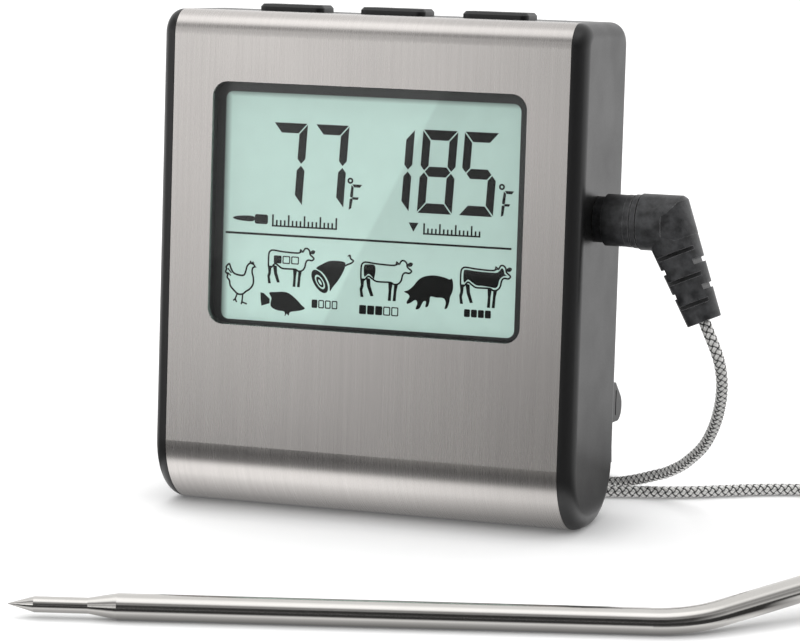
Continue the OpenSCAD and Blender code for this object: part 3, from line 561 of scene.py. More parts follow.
def ellipse(cx, cz, rx, rz, sides, tilt=0.0):
    points = []
    for k in range(sides):
        angle = 2 * math.pi * k / sides
        x, z = rx * math.cos(angle), rz * math.sin(angle)
        points.append((cx + x * math.cos(tilt) - z * math.sin(tilt),
                       cz + x * math.sin(tilt) + z * math.cos(tilt)))
    return points


def circle(cx, cz, r, sides=28):
    return ellipse(cx, cz, r, r, sides)


def inset(polygon, gap):
    """A convex polygon drawn in by gap on every side."""
    p = np.array(polygon, float)
    if area(p) < 0:
        p = p[::-1]
    sides = []
    for i in range(len(p)):
        along = p[(i + 1) % len(p)] - p[i]
        along = along / np.linalg.norm(along)
        sides.append((p[i] + np.array([-along[1], along[0]]) * gap, along))
    corners = []
    for i in range(len(p)):
        (a, u), (b, v) = sides[i - 1], sides[i]
        cross = u[0] * v[1] - u[1] * v[0]
        corners.append(a + u * (((b - a)[0] * v[1] - (b - a)[1] * v[0]) / cross))
    return corners


class Sheet:
    """Thin closed prisms drawn in the x-z plane between two depths, front first."""

    LIFT = 0.0006       # successive prisms are lifted by 0 to 8 of these, so overlaps don't clash

    def __init__(self, front_y, back_y, place=leaned):
        self.depths, self.place = (front_y, back_y), place
        self.verts, self.faces = [], []
        self.count = 0

    def prism(self, outer, holes=()):
        lift = self.LIFT * (self.count % 9)
        self.count += 1
        loops = [list(outer) if area(outer) > 0 else list(outer)[::-1]]
        loops += [list(h) if area(h) < 0 else list(h)[::-1] for h in holes]
        flat = [p for loop in loops for p in loop]
        triangles = tessellate_polygon([[Vector((x, z, 0)) for x, z in loop] for loop in loops])
        front = len(self.verts)
        back = front + len(flat)
        for y in self.depths:
            self.verts += [self.place((x, y - lift, z)) for x, z in flat]
        for i, j, k in triangles:
            a, b, c = flat[i], flat[j], flat[k]
            turn = (b[0] - a[0]) * (c[1] - a[1]) - (c[0] - a[0]) * (b[1] - a[1])
            if abs(turn) < 1e-12:
                continue
            if turn < 0:
                j, k = k, j
            self.faces.append((front + i, front + j, front + k))
            self.faces.append((back + i, back + k, back + j))
        start = 0
        for loop in loops:
            for i in range(len(loop)):
                a, b = start + i, start + (i + 1) % len(loop)
                self.faces.append((front + a, back + a, back + b, front + b))
            start += len(loop)

    def stroke(self, points, width, closed=False):
        """A line of even width, mitred at its corners."""
        p = np.array(points, float)
        last = len(p) - 1
        left, right = [], []
        for i, here in enumerate(p):
            steps = [here - p[i - 1], p[(i + 1) % len(p)] - here]
            if not closed and i == 0:
                steps[0] = steps[1]
            if not closed and i == last:
                steps[1] = steps[0]
            n0, n1 = (np.array([-d[1], d[0]]) / np.linalg.norm(d) for d in steps)
            mitre = n0 + n1
            mitre = mitre / np.linalg.norm(mitre)
            reach = mitre * width / 2 / max(0.55, float(mitre @ n0))
            left.append(here + reach)
            right.append(here - reach)
        if closed:
            inner, outer = sorted((left, right), key=lambda loop: abs(area(loop)))
            self.prism(outer, [inner])
        else:
            self.prism(left + right[::-1])

    def build(self, name, material_name, body):
        ob = flat_shaded(name, self.verts, self.faces, MATS[material_name])
        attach(ob, body)


# ---------------------------------------------------------------- display: readings and scales
lcd = Sheet(2.955, 2.985)

DIGIT_Z, DIGIT_H = 48.42, 13.12
DIGITS = (("7", -16.77, 5.92), ("7", -9.74, 5.85),      # digit, left x, width
          ("1", 1.10, 5.88), ("8", 8.16, 5.92), ("5", 14.98, 5.82))
BAR, POST = 1.75, 1.5       # thickness of level and upright segments
SLANT = -0.7                # sideways shift at the foot of a digit
SEGMENT_GAP = 0.2
# segments from the top clockwise a to f, and g across the middle
LIT = {"1": "bc", "5": "afgcd", "7": "abc", "8": "abcdefg"}


def digit(figure, x0, w):
    h, t, mid = DIGIT_H, POST, DIGIT_H / 2
    low, high = mid - BAR / 2, mid + BAR / 2
    top, half = h - BAR, t / 2
    segments = {
        "a": [(0, h), (w, h), (w - t, top), (t, top)],
        "b": [(w, h), (w - t, top), (w - t, high), (w - half, mid), (w, high)],
        "c": [(w, 0), (w - t, BAR), (w - t, low), (w - half, mid), (w, low)],
        "d": [(0, 0), (w, 0), (w - t, BAR), (t, BAR)],
        "e": [(0, 0), (t, BAR), (t, low), (half, mid), (0, low)],
        "f": [(0, h), (t, top), (t, high), (half, mid), (0, high)],
        "g": [(half, mid), (t, high), (w - t, high), (w - half, mid), (w - t, low), (t, low)],
    }
    for name in LIT[figure]:
        lcd.prism([(x0 + x + SLANT * (1 - z / h), DIGIT_Z + z)
                   for x, z in inset(segments[name], SEGMENT_GAP / 2)])


def ring_mark(ring_x, ring_z, points):
    """Small ring over two level and two slanting bars set on the five points."""
    lcd.prism(circle(ring_x, ring_z, 0.48), [circle(ring_x, ring_z, 0.20)])
    (ax, az), (bx, bz), (mx, mz), (nx, nz), (ex, ez) = points
    lcd.prism([(ax, az + 0.24), (bx, bz + 0.24), (bx - 0.36, bz - 0.22), (ax + 0.30, az - 0.22)])
    lcd.prism([(ax - 0.16, az + 0.12), (ax + 0.20, az - 0.22), (mx + 0.24, mz + 0.28),
               (mx - 0.02, mz + 0.08), (mx - 0.26, mz + 0.26)])
    lcd.prism([(mx + 0.14, mz + 0.18), (nx, nz + 0.18), (nx - 0.16, nz - 0.2),
               (mx + 0.12, mz - 0.2)])
    lcd.prism([(mx - 0.28, mz - 0.14), (mx + 0.02, mz - 0.02), (mx + 0.2, mz - 0.26),
               (ex + 0.26, ez + 0.1), (ex - 0.14, ez - 0.12)])


def scale_row(x0, x1, z0, z1, step, width):
    """Row of ticks, every fourth one tall."""
    n = int(round((x1 - x0) / step))
    for i in range(n + 1):
        x = x0 + (x1 - x0) * i / n
        top = z0 + (z1 - z0) * (0.55 if i % 4 else 1.0)
        lcd.prism([(x - width / 2, z0), (x + width / 2, z0), (x + width / 2, top),
                   (x - width / 2, top)])


for figure, left_x, width in DIGITS:
    digit(figure, left_x, width)
ring_mark(-3.59, 52.91, [(-3.22, 52.13), (-1.62, 52.12), (-3.33, 50.2), (-2.12, 50.18),
                         (-3.6, 48.5)])
ring_mark(21.34, 53.23, [(21.84, 52.42), (23.33, 52.4), (21.68, 50.46), (22.76, 50.46),
                         (21.44, 48.75)])
# dividing line
lcd.prism([(-24.45, 43.56), (23.2, 43.62), (23.2, 43.94), (-24.45, 43.90)])
# under the left reading: a small probe and a scale
PROBE_SIGN = [(-23.3, 46.1), (-22.2, 46.45), (-19.8, 46.5), (-19.8, 45.7), (-22.2, 45.75)]
lcd.prism(smooth_line(PROBE_SIGN, 3, closed=True))
lcd.prism(rounded_rect(-19.55, -17.3, 45.35, 46.85, r=0.35, steps=8))
lcd.prism([(-16.6, 45.05), (-5.6, 45.1), (-5.6, 45.34), (-16.6, 45.29)])
scale_row(-16.45, -5.75, 45.1, 46.95, step=0.67, width=0.27)
# under the right reading: a pointer and a scale
lcd.prism([(6.3, 46.95), (7.9, 46.95), (7.1, 45.55)])
lcd.prism([(8.7, 45.2), (18.1, 45.25), (18.1, 45.49), (8.7, 45.44)])
scale_row(8.85, 17.95, 45.25, 46.95, step=0.65, width=0.26)


# ---------------------------------------------------------------- display: animals and meats
# Points are (across, up) as shares of the box each picture is placed in.
HEN = [
    (0.14, 0.90), (0.20, 0.80), (0.30, 0.70), (0.46, 0.665), (0.62, 0.67), (0.68, 0.76),
    (0.72, 0.87), (0.80, 0.935), (0.90, 0.93), (0.965, 0.875), (0.90, 0.835), (0.885, 0.74),
    (0.93, 0.62), (0.925, 0.48), (0.83, 0.375), (0.70, 0.31), (0.60, 0.25), (0.44, 0.245),
    (0.30, 0.33), (0.19, 0.42), (0.16, 0.53), (0.085, 0.60), (0.10, 0.665), (0.03, 0.715),
    (0.06, 0.78), (0.045, 0.83)]
HEN_COMB = [(0.80, 0.945), (0.82, 1.0), (0.875, 0.965), (0.91, 0.985), (0.945, 0.93)]
HEN_BEAK = [(0.95, 0.895), (1.03, 0.86), (0.95, 0.845)]
HEN_TAIL = [[(0.10, 0.80), (0.22, 0.70)], [(0.09, 0.71), (0.20, 0.64)]]
HEN_FEET = [[(0.42, 0.25), (0.36, 0.13), (0.30, 0.09)], [(0.36, 0.13), (0.41, 0.06)],
            [(0.60, 0.25), (0.585, 0.10), (0.56, 0.02)], [(0.585, 0.07), (0.74, 0.035)]]
CATTLE = [
    (0.045, 0.80), (0.075, 0.875), (0.14, 0.90), (0.34, 0.875), (0.66, 0.865), (0.70, 0.945),
    (0.745, 0.90), (0.79, 0.985), (0.845, 0.985), (0.885, 0.93), (0.90, 0.84), (0.975, 0.755),
    (0.94, 0.695), (0.86, 0.70), (0.815, 0.64), (0.79, 0.50), (0.735, 0.42), (0.66, 0.405),
    (0.60, 0.445), (0.46, 0.445), (0.33, 0.45), (0.25, 0.51), (0.18, 0.56), (0.11, 0.47),
    (0.05, 0.46), (0.04, 0.62)]
CATTLE_LEGS = [
    [(0.03, 0.50), (0.105, 0.50), (0.095, 0.30), (0.075, 0.22), (0.10, 0.05), (0.045, 0.05),
     (0.025, 0.24), (0.045, 0.34)],
    [(0.135, 0.53), (0.215, 0.50), (0.225, 0.33), (0.285, 0.09), (0.23, 0.08), (0.165, 0.30)],
    [(0.555, 0.43), (0.635, 0.42), (0.615, 0.24), (0.61, 0.0), (0.555, 0.0), (0.565, 0.24)],
    [(0.665, 0.41), (0.735, 0.41), (0.71, 0.24), (0.70, 0.0), (0.645, 0.0), (0.66, 0.24)]]
CATTLE_EAR = [(0.895, 0.90), (0.95, 0.96), (1.0, 0.93), (0.975, 0.865), (0.92, 0.855)]
CATTLE_REAR = [(0.095, 0.80), (0.15, 0.845), (0.30, 0.82), (0.29, 0.52), (0.245, 0.565),
               (0.18, 0.62), (0.105, 0.55)]
CATTLE_WHOLE = [
    (0.095, 0.80), (0.15, 0.845), (0.34, 0.825), (0.68, 0.815), (0.755, 0.85), (0.81, 0.93),
    (0.85, 0.88), (0.865, 0.80), (0.905, 0.765), (0.84, 0.745), (0.775, 0.665), (0.745, 0.52),
    (0.70, 0.465), (0.63, 0.475), (0.46, 0.495), (0.35, 0.50), (0.26, 0.56), (0.18, 0.62),
    (0.105, 0.55)]
FISH = [
    (0.20, 0.93), (0.34, 0.97), (0.50, 1.0), (0.64, 0.95), (0.80, 0.74), (0.92, 0.52),
    (1.0, 0.38), (0.88, 0.28), (0.68, 0.20), (0.645, 0.05), (0.60, 0.12), (0.56, 0.02),
    (0.545, 0.20), (0.38, 0.24), (0.25, 0.36), (0.235, 0.56), (0.25, 0.72)]
FISH_TAIL = [(0.0, 0.92), (0.07, 0.90), (0.21, 0.68), (0.21, 0.50), (0.03, 0.38), (0.01, 0.62)]
HAM = [
    (0.15, 0.66), (0.30, 0.78), (0.45, 0.86), (0.62, 0.875), (0.79, 0.85), (0.80, 0.74),
    (0.75, 0.58), (0.65, 0.38), (0.53, 0.20), (0.475, 0.105), (0.455, 0.28), (0.37, 0.46),
    (0.27, 0.58)]
HAM_BONE = [(0.785, 0.83), (0.83, 0.88), (0.86, 0.99), (0.905, 1.03), (0.925, 0.95),
            (0.985, 0.90), (0.94, 0.84), (0.86, 0.80), (0.80, 0.76)]
PIG = [
    (0.02, 0.49), (0.10, 0.535), (0.20, 0.66), (0.30, 0.84), (0.42, 0.94), (0.60, 0.985),
    (0.80, 0.95), (0.91, 0.90), (0.945, 0.93), (0.97, 0.88), (0.985, 0.74), (0.975, 0.58),
    (0.93, 0.42), (0.92, 0.30), (0.88, 0.12), (0.83, 0.10), (0.85, 0.26), (0.80, 0.38),
    (0.66, 0.385), (0.545, 0.40), (0.53, 0.27), (0.50, 0.13), (0.45, 0.11), (0.46, 0.26),
    (0.40, 0.24), (0.335, 0.06), (0.26, 0.035), (0.29, 0.19), (0.25, 0.28), (0.16, 0.20),
    (0.09, 0.16), (0.08, 0.22), (0.13, 0.36), (0.10, 0.43)]


class Picture:
    """Draws shares of a box on the display."""

    def __init__(self, x0, x1, z0, z1):
        self.box = x0, x1, z0, z1

    def at(self, across, up):
        x0, x1, z0, z1 = self.box
        return x0 + (x1 - x0) * across, z0 + (z1 - z0) * up

    def solid(self, points):
        lcd.prism([self.at(*p) for p in points])

    def blob(self, points, steps=4):
        self.solid(smooth_line(points, steps, closed=True))

    def line(self, points, width, closed=False):
        lcd.stroke([self.at(*p) for p in points], width, closed)


def blocks(x0, x1, z0, z1, total, lit):
    """Level mark: lit blocks solid, the rest hollow."""
    step = (x1 - x0) / total
    gap, wall, r = 0.09, 0.17, 0.18
    for i in range(total):
        a, b = x0 + i * step + gap, x0 + (i + 1) * step - gap
        hole = rounded_rect(a + wall, b - wall, z0 + wall, z1 - wall, r * 0.5, steps=3)
        lcd.prism(rounded_rect(a, b, z0, z1, r, steps=3), [] if i < lit else [hole])


def hen(*box):
    pic = Picture(*box)
    pic.line(smooth_line(HEN, 4, closed=True), 0.27, closed=True)
    pic.blob(HEN_COMB, steps=3)
    pic.solid(HEN_BEAK)
    for line in HEN_TAIL:
        pic.line(line, 0.2)
    for line in HEN_FEET:
        pic.line(line, 0.24)


def cattle(*box):
    """Side view of cattle in line, with solid legs and ear."""
    pic = Picture(*box)
    pic.line(smooth_line(CATTLE, 4, closed=True), 0.26, closed=True)
    for leg in CATTLE_LEGS:
        pic.solid(leg)
    pic.blob(CATTLE_EAR, steps=3)
    return pic


def fish(*box):
    pic = Picture(*box)
    pic.blob(FISH)
    pic.solid(FISH_TAIL)


def ham(*box):
    """Solid ham with its bone, and two tilted rings for its cut face."""
    pic = Picture(*box)
    pic.blob(HAM)
    pic.line(smooth_line(HAM_BONE, 4), 0.26)
    x, z = pic.at(0.235, 0.33)
    tilt = 0.60
    lcd.prism(ellipse(x, z, 1.02, 2.05, 36, tilt),
              [ellipse(x + 0.04, z - 0.08, 0.60, 1.28, 36, tilt)])
    lcd.prism(ellipse(x + 0.04, z - 0.08, 0.42, 0.95, 30, tilt),
              [ellipse(x + 0.06, z - 0.12, 0.18, 0.5, 20, tilt)])


hen(-24.45, -19.15, 32.3, 39.45)
pic = cattle(-17.35, -9.15, 35.75, 41.95)
(flank_x0, flank_z0), (flank_x1, flank_z1) = pic.at(0.14, 0.57), pic.at(0.68, 0.77)
blocks(flank_x0, flank_x1, flank_z0, flank_z1, total=3, lit=1)
cattle(-1.75, 7.2, 34.55, 41.0).blob(CATTLE_REAR)
cattle(14.75, 23.4, 34.5, 41.2).blob(CATTLE_WHOLE)
fish(-18.25, -10.65, 30.95, 34.85)
ham(-10.0, -2.6, 34.8, 41.05)
Picture(5.7, 14.05, 33.35, 39.05).blob(PIG)
# level marks below the pictures
blocks(-9.6, -5.1, 32.65, 33.95, total=4, lit=1)
blocks(-1.6, 5.1, 32.2, 33.6, total=5, lit=3)
blocks(15.75, 20.3, 32.85, 34.05, total=4, lit=4)
lcd.build("display_segments", "display_ink", body="housing")

# dark printed border behind the lens; it also stands in for the shade of the window's recess,
# painted as dark print
border = Sheet(2.83, 2.93)
border.prism(rounded_rect(-27.0, 27.0, 28.4, 68.7, r=3.4, steps=10),
             [rounded_rect(-24.88, 24.12, 30.02, 66.05, r=1.25, steps=8)])
border.build("display_border", "print_and_recess_shade", body="housing")

# ---------------------------------------------------------------- marks on the keys
KEY_TOP = CASE_H + 1.1
KEY_Y = 12.2
KEY_PITCH = 17.0


def key_mark(key, x):
    """Ring and dot on the mode key, a triangle on the others."""
    sheet = Sheet(-0.045, 0.0, lambda p: leaned((p[0], KEY_Y + p[2], KEY_TOP - 0.02 - p[1])))
    if key == "mode":
        sheet.prism(circle(x, 0, 1.5, 32), [circle(x, 0, 1.12, 32)])
        sheet.prism(circle(x, 0, 0.42, 20))
    else:
        sign = 1 if key == "up" else -1
        sheet.prism([(x - 1.7, -0.95 * sign), (x + 1.7, -0.95 * sign), (x, 1.35 * sign)])
    sheet.build(key + "_mark", "key_print", body=key + "_key")


key_mark("mode", -KEY_PITCH)
key_mark("up", 0.0)
key_mark("down", KEY_PITCH)

# ---------------------------------------------------------------- path of the lead
# plug boot: from its elbow it slopes down to the right
BOOT_SLOPE = math.radians(66.5)
BOOT_LENGTH = 16.0
elbow = np.array([46.2, 9.0, 48.67])
boot_axis = np.array((math.cos(BOOT_SLOPE), 0.0, -math.sin(BOOT_SLOPE)))
boot_end = leaned(elbow + BOOT_LENGTH * boot_axis)
boot_dir = leaned(elbow + (BOOT_LENGTH + 1.0) * boot_axis) - boot_end

# probe: straight tube, a bend, straight tube again and the ferrule
PROBE_TIP = np.array([-26.82, -77.93, 1.9])
BEND_TILT = math.radians(10.95)         # the plane of the bend rises this much from the table
BEND = math.atan2(3, 4)
FRONT_TUBE, BEND_R, REAR_TUBE, FERRULE = 91.2, 15.0, 36.0, 7.0
ahead = np.array([math.cos(PROBE_HEADING), math.sin(PROBE_HEADING), 0])
level_side = np.array([-math.sin(PROBE_HEADING), math.cos(PROBE_HEADING), 0])
side = level_side * math.cos(BEND_TILT) + np.array([0, 0, math.sin(BEND_TILT)])
bend_end = (PROBE_TIP + FRONT_TUBE * ahead
            + BEND_R * (math.sin(BEND) * ahead + (1 - math.cos(BEND)) * side))
tail = ahead * math.cos(BEND) + side * math.sin(BEND)
ferrule_end = bend_end + REAR_TUBE * tail + FERRULE * tail
lift_pivot = ferrule_end + 5.0 * tail

LIE = 1.0                               # height of the lead's axis where it lies on the table
SWING = (90.0, 28.3, 1.0)               # the lead beyond here moves with the probe side
LEAD_POINTS = [
    boot_end - 1.3 * boot_dir, boot_end + 1.2 * boot_dir,
    (54.3, 1.0, 29.6), (54.85, 1.9, 26.9), (54.7, 3.7, 23.5), (53.6, 6.7, 19.5),
    (51.8, 10, 15.4), (49.0, 14, 11.2), (44.9, 18.4, 7.3), (42.4, 20.4, 5.6),
    (40.6, 21.75, 4.6), (39.0, 22.5, 4.0), (34.8, 24.5, 2.4), (30.3, 26, 1.3),
    (22, 27.4, LIE), (12, 28.0, LIE), (2, 27.6, LIE), (-6, 26.2, LIE), (-10, 23, LIE),
    (-7, 19.6, LIE), (0, 18.0, LIE), (10, 17.6, LIE), (20, 18.5, LIE), (31.7, 21.3, LIE),
    (42.4, 24.6, LIE), (53.9, 30.8, LIE), (62, 33.4, LIE), (72, 34.2, LIE), (82, 32.2, LIE),
    SWING, (97.3, 24.0, LIE), (103.2, 18.2, 1.4), (107, 11, 3.0), (107.6, 3.2, 5.6),
    (105.3, -4.2, 7.7), lift_pivot + 3 * tail, lift_pivot + 0.2 * tail,
    ferrule_end + 0.6 * tail, ferrule_end - 2.0 * tail]
path = np.array(smooth_line(LEAD_POINTS, 24))
arc = np.r_[0, np.cumsum(np.linalg.norm(np.diff(path, axis=0), axis=1))]
TOTAL = arc[-1]


def at(s):
    """Place on the path at length s, or places at an array of lengths."""
    return np.stack([np.interp(s, arc, path[:, k]) for k in range(3)], -1)


def arc_near(point):
    return float(arc[np.argmin(np.linalg.norm(path - np.array(point, float), axis=1))])


# frames every 0.1 mm, carried along the smoothed path without twist
FRAMES = int(TOTAL / 0.1) + 2
SMOOTHING = 9
centres = at(np.linspace(0, TOTAL, FRAMES))
pad = SMOOTHING // 2
padded = np.r_[np.repeat(centres[:1], pad, 0), centres, np.repeat(centres[-1:], pad, 0)]
smoothed = np.stack([np.convolve(padded[:, k], np.ones(SMOOTHING) / SMOOTHING, "valid")
                     for k in range(3)], 1)
tangents = np.gradient(smoothed, axis=0)
tangents /= np.linalg.norm(tangents, axis=1)[:, None]
normals = np.zeros_like(centres)
normal = np.cross(tangents[0], [0, 1, 0])
normals[0] = normal / np.linalg.norm(normal)
for i in range(1, FRAMES):
    normal = normals[i - 1] - (normals[i - 1] @ tangents[i]) * tangents[i]
    normals[i] = normal / np.linalg.norm(normal)
binormals = np.cross(tangents, normals)


def around(s, angle, r):
    """Points at radius r and the given angle about the path at lengths s."""
    i = np.clip(s / TOTAL * (FRAMES - 1), 0, FRAMES - 1)
    low = np.floor(i).astype(int)
    high = np.minimum(low + 1, FRAMES - 1)
    w = (i - low)[:, None]
    centre, a, b = (q[low] * (1 - w) + q[high] * w for q in (centres, normals, binormals))
    return centre + (np.cos(angle) * r)[:, None] * a + (np.sin(angle) * r)[:, None] * b


# ---------------------------------------------------------------- braid
STRANDS = 4                             # in each direction
PITCH = 4.6
STEP = PITCH / 32
OUTER_R = 0.95
WIDE, HIGH = 0.38, 0.09                 # half width and half height of a strand
WAVE = 0.115                            # how far strands rise and dip
MID_R = OUTER_R - WAVE - HIGH
SLOPE = math.atan2(2 * math.pi * MID_R, PITCH)
CORE_R = MID_R - WAVE
CORE_SIDES = 20
# section of a strand: across, outward
SECTION = [(-WIDE, -0.05), (-0.29, 0.045), (-0.1, HIGH), (0.1, HIGH), (0.29, 0.045),
           (WIDE, -0.05), (0.0, -HIGH)]


def tube_faces(offset, rings, sides):
    """Quads between successive rings, and a cap at each end."""
    faces = []
    for i in range(rings - 1):
        a, b = offset + i * sides, offset + (i + 1) * sides
        for j in range(sides):
            k = (j + 1) % sides
            faces.append((a + j, a + k, b + k, b + j))
    faces.append(tuple(offset + j for j in range(sides - 1, -1, -1)))
    faces.append(tuple(offset + (rings - 1) * sides + j for j in range(sides)))
    return faces


def braid(name, s0, s1):
    """Woven strands over a core between two lengths; also returns each vertex's length."""
    s = np.arange(int(round(s0 / STEP)), int(round(s1 / STEP)) + 1) * STEP
    n, sides = len(s), len(SECTION)
    verts, faces, along, line, lift = [], [], [], [], []
    for turn in (1, -1):
        # over one, under one, with flattened crests
        wave = np.clip(turn * np.cos(2 * math.pi * STRANDS * s / PITCH) * 1.35, -1, 1)
        r = MID_R + wave * WAVE
        for strand in range(STRANDS):
            angle = 2 * math.pi * (strand / STRANDS + turn * s / PITCH)
            rings = []
            for across, out in SECTION:
                shift = -turn * across * math.sin(SLOPE)
                rings.append(around(np.clip(s + shift, 0, TOTAL),
                                    angle + across * math.cos(SLOPE) / MID_R, r + out))
            faces += tube_faces(len(verts) * n * sides, n, sides)
            verts.append(np.stack(rings, 1).reshape(-1, 3))
            along.append(np.repeat(s, sides))
            line.append(np.tile([across / (2 * WIDE) + 0.5 for across, _ in SECTION], n))
            lift.append(np.repeat(wave * 0.5 + 0.5, sides))
    strand_faces = len(faces)

    core_s = s[::2] if n % 2 else np.r_[s[:-1:2], s[-1]]
    rings = [around(core_s, np.full(len(core_s), 2 * math.pi * j / CORE_SIDES), CORE_R)
             for j in range(CORE_SIDES)]
    faces += tube_faces(len(verts) * n * sides, len(core_s), CORE_SIDES)
    verts.append(np.stack(rings, 1).reshape(-1, 3))
    along.append(np.repeat(core_s, CORE_SIDES))
    line.append(np.full(len(core_s) * CORE_SIDES, 0.5))
    lift.append(np.zeros(len(core_s) * CORE_SIDES))

    mesh = bpy.data.meshes.new(name)
    mesh.from_pydata((np.concatenate(verts) * MM).tolist(), [], faces)
    mesh.materials.append(MATS["braid"])
    mesh.materials.append(MATS["core"])
    slots = np.zeros(len(mesh.polygons), np.int32)
    slots[strand_faces:] = 1
    mesh.polygons.foreach_set("material_index", slots)
    mesh.polygons.foreach_set("use_smooth", [True] * len(mesh.polygons))
    for key, values in (("wire_line", line), ("wire_lift", lift)):
        attribute = mesh.attributes.new(key, "FLOAT", "POINT")
        attribute.data.foreach_set("value", np.concatenate(values).astype(np.float32))
    bm = bmesh.new()
    bm.from_mesh(mesh)
    bmesh.ops.recalc_face_normals(bm, faces=bm.faces)
    bm.to_mesh(mesh)
    bm.free()
    mesh.update()
    ob = add_object(name, mesh)
    return ob, np.concatenate(along)


def bend_with(ob, along, a, b, s0, s1):
    """Bakes the piece's placement into its mesh; it does not follow body a or body b."""
    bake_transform(ob)


def snap(s):
    return round(s / STEP) * STEP


boot_s = snap(arc_near(boot_end + 0.6 * boot_dir))
drop_s = snap(arc_near((53.6, 6.7, 19.5)))
land_s = snap(arc_near((22, 27.4, 1.0)))
swing_s0, swing_s1 = snap(arc_near(SWING) - 14), snap(arc_near(SWING) + 12)
lift_s0, lift_s1 = snap(arc_near(lift_pivot) - 9), snap(arc_near(lift_pivot) + 2.6)
end_s = math.floor(TOTAL / STEP) * STEP

# name, its two ends, body or two bodies with two lengths (a lone body is attached, two bodies are
# not), CAD piece it replaces
LEAD = [
    ("lead_at_plug", 0.0, drop_s, ("plug", "plug_shank", boot_s, drop_s), "cable_plug_end"),
    ("lead_drop", drop_s, land_s, ("plug_shank", "housing", drop_s, land_s), None),
    ("lead_loop", land_s, swing_s0, ("housing",), "cable_run"),
    ("lead_swing", swing_s0, swing_s1, ("housing", "cable_lead", swing_s0, swing_s1), None),
    ("lead_rise", swing_s1, lift_s0, ("cable_lead",), "cable_tail"),
    ("lead_at_probe", lift_s0, end_s, ("cable_lead", "probe", lift_s0, lift_s1),
     "cable_probe_end"),
]
for name, s0, s1, follows, replaced in LEAD:
    ob, along = braid(name, s0, s1)
    if len(follows) == 1:
        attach(ob, follows[0])
    else:
        bend_with(ob, along, *follows)
    if replaced:
        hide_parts(replaced)


# ---------------------------------------------------------------- table
def table_white():
    """White table with painted shade near things standing on it; in reflections it shows a painted
    brightness set by distance.
    """
    m = Mat("table_white")
    rays = m.node("LightPath").outputs
    # painted shade: the table colour darkens close to things on it
    contact_shade = m.node("AmbientOcclusion", samples=8, Distance=0.009).outputs["AO"]
    diffuse = m.node("BsdfDiffuse", Color=m.remap(contact_shade, 0.0, 1.0, 0.55, 0.93)).outputs[0]
    lift = m.node("Emission", Color=grey(1.0),
                  Strength=m.times(rays["Is Camera Ray"], 0.12)).outputs[0]
    seen = m.node("AddShader", diffuse, lift).outputs[0]
    far = 600.0
    length = m.rise(rays["Ray Length"], 0.0, far * MM)
    y = m.split(m.node("NewGeometry").outputs["Position"])[1]

    def by_length(*stops):
        """Stops are (length of the reflected ray, brightness)."""
        return m.ramp(length, [(mm / far, value) for mm, value in stops])

    # painted reflections: the brightness the table shows in reflections, by the length of the
    # reflected ray
    in_front = by_length((0, 0.12), (3, 0.42), (6.5, 1.15), (11.5, 1.30), (16, 0.17),
                         (80, 0.12), (140, 0.22), (260, 0.315), (600, 0.365))
    behind = by_length((0, 0.8), (8, 0.85), (13, 0.3), (20, 0.32), (50, 0.65), (100, 1.0),
                       (300, 1.15), (600, 1.25))
    by_probe = by_length((0, 0.04), (0.25, 0.5), (0.8, 0.85), (1.8, 0.95), (3.0, 0.80),
                         (4.6, 0.04), (60, 0.04), (90, 0.12), (140, 0.22), (260, 0.315),
                         (600, 0.365))
    tone = m.mix(m.rise(y, -0.002, 0.012), in_front, behind)
    tone = m.mix(m.rise(y, -0.038, -0.046), tone, by_probe)
    shine = m.node("Emission", Color=tone, Strength=1.0).outputs[0]
    m.finish(m.node("MixShader", rays["Is Glossy Ray"], seen, shine).outputs[0])
    return m.material


REACH = 4000
table = flat_shaded("table", [(-REACH, -REACH, 0), (REACH, -REACH, 0), (REACH, REACH, 0),
                              (-REACH, REACH, 0)], [(0, 1, 2, 3)], table_white())


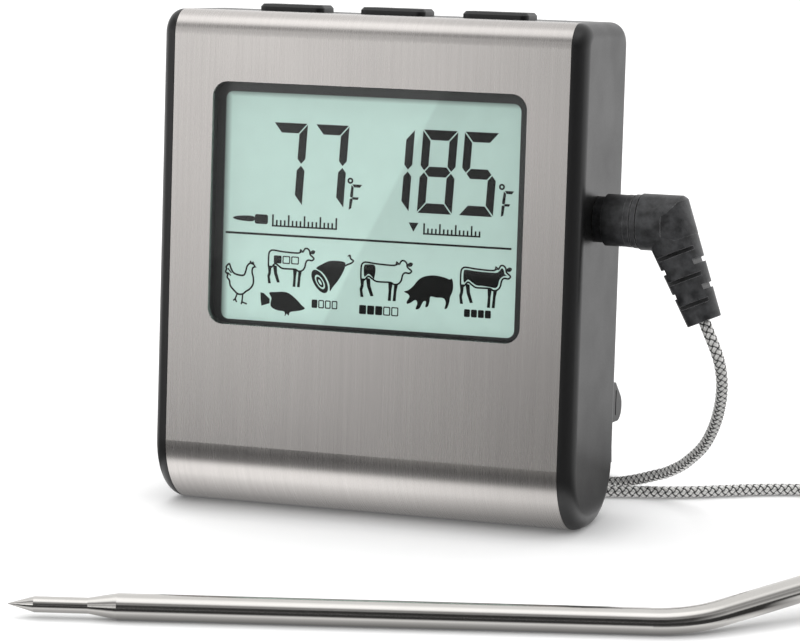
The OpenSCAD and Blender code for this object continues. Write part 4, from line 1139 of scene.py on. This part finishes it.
# ---------------------------------------------------------------- world
def studio():
    """Surroundings whose brightness varies round the horizon and with height; white to the eye."""
    world = bpy.data.worlds.new("studio")
    scene.world = world
    world.use_nodes = True
    w = Nodes(world.node_tree, "ShaderNodeOutputWorld")
    x, y, z = w.split(w.node("TexCoord").outputs["Generated"])
    # 0 in front, positive to the left
    azimuth = w.math("ARCTAN2", w.times(x, -1.0), w.times(y, -1.0))
    elevation = w.math("ARCSINE", z)
    azimuth = w.rise(azimuth, -math.pi, math.pi)

    def round_about(*stops):
        """Stops are (azimuth in degrees, brightness)."""
        return w.ramp(azimuth, [((deg + 180.0) / 360.0, value) for deg, value in stops])

    horizon = round_about((-180, 1.0), (-115, 1.08), (-85, 0.68), (-50, 0.11), (-20, 0.05),
                          (-4, 0.06), (8, 0.45), (17, 0.98), (26, 1.5), (40, 1.6), (62, 1.1),
                          (95, 0.8), (125, 0.95), (180, 1.0))
    elevation = w.rise(elevation, -math.pi / 2, math.pi / 2)

    def upward(*stops):
        """Stops are (elevation in degrees, brightness)."""
        return w.ramp(elevation, [((deg + 90.0) / 180.0, value) for deg, value in stops])

    front = round_about((-130, 0.0), (-85, 1.0), (85, 1.0), (130, 0.0))

    def in_front(value, elsewhere):
        return w.add(w.times(w.minus(value, elsewhere), front), elsewhere)

    dip = upward((7, 1.0), (13, 0.52), (24, 0.42), (31, 0.85))
    low = w.times(horizon, in_front(dip, elsewhere=1.0))
    high_up = upward((26, 0.0), (34, 1.0))

    def over_low(high):
        return w.add(w.times(low, w.minus(1.0, high_up)), w.times(high, high_up))

    overhead = upward((30, 1.5), (52, 1.5), (66, 1.08), (90, 1.05))
    level = over_low(in_front(overhead, elsewhere=1.05))
    # reflections see a dim ledge between the low light and the overhead light
    ledge = upward((30, 0.45), (36, 0.28), (44, 0.28), (50, 0.75), (56, 1.3), (72, 1.45),
                   (82, 1.3), (90, 0.95))
    ledge = over_low(in_front(ledge, elsewhere=0.9))
    rays = w.node("LightPath").outputs
    level = w.mix(rays["Is Glossy Ray"], level, ledge)
    lighting = w.node("Background", Color=level, Strength=1.0).outputs[0]
    white = w.node("Background", Color=grey(1.0), Strength=1.0).outputs[0]
    w.finish(w.node("MixShader", rays["Is Camera Ray"], lighting, white).outputs[0])


studio()

# ---------------------------------------------------------------- light and camera, in metres
key_light = bpy.data.lights.new("key", "AREA")
key_light.shape = "RECTANGLE"
key_light.size, key_light.size_y = 0.7, 0.5
key_light.energy = 2.2
key = add_object("key", key_light)
key.location = (-0.25, 0.25, 0.85)
key_aim = Vector((0.02, -0.02, 0.03)) - key.location
key.rotation_euler = key_aim.to_track_quat("-Z", "Y").to_euler()
key.visible_glossy = False

lens = bpy.data.cameras.new("camera")
lens.sensor_width = 36.0
lens.lens = 160.36
lens.clip_start, lens.clip_end = 0.01, 20.0
camera = add_object("camera", lens)
camera.location = (0.195857, -0.515847, 0.134426)
camera.rotation_euler = (math.radians(90 - 10.665), 0.0, math.radians(20.4702))
scene.camera = camera
scene.view_settings.view_transform = "Standard"
scene.view_settings.look = "None"
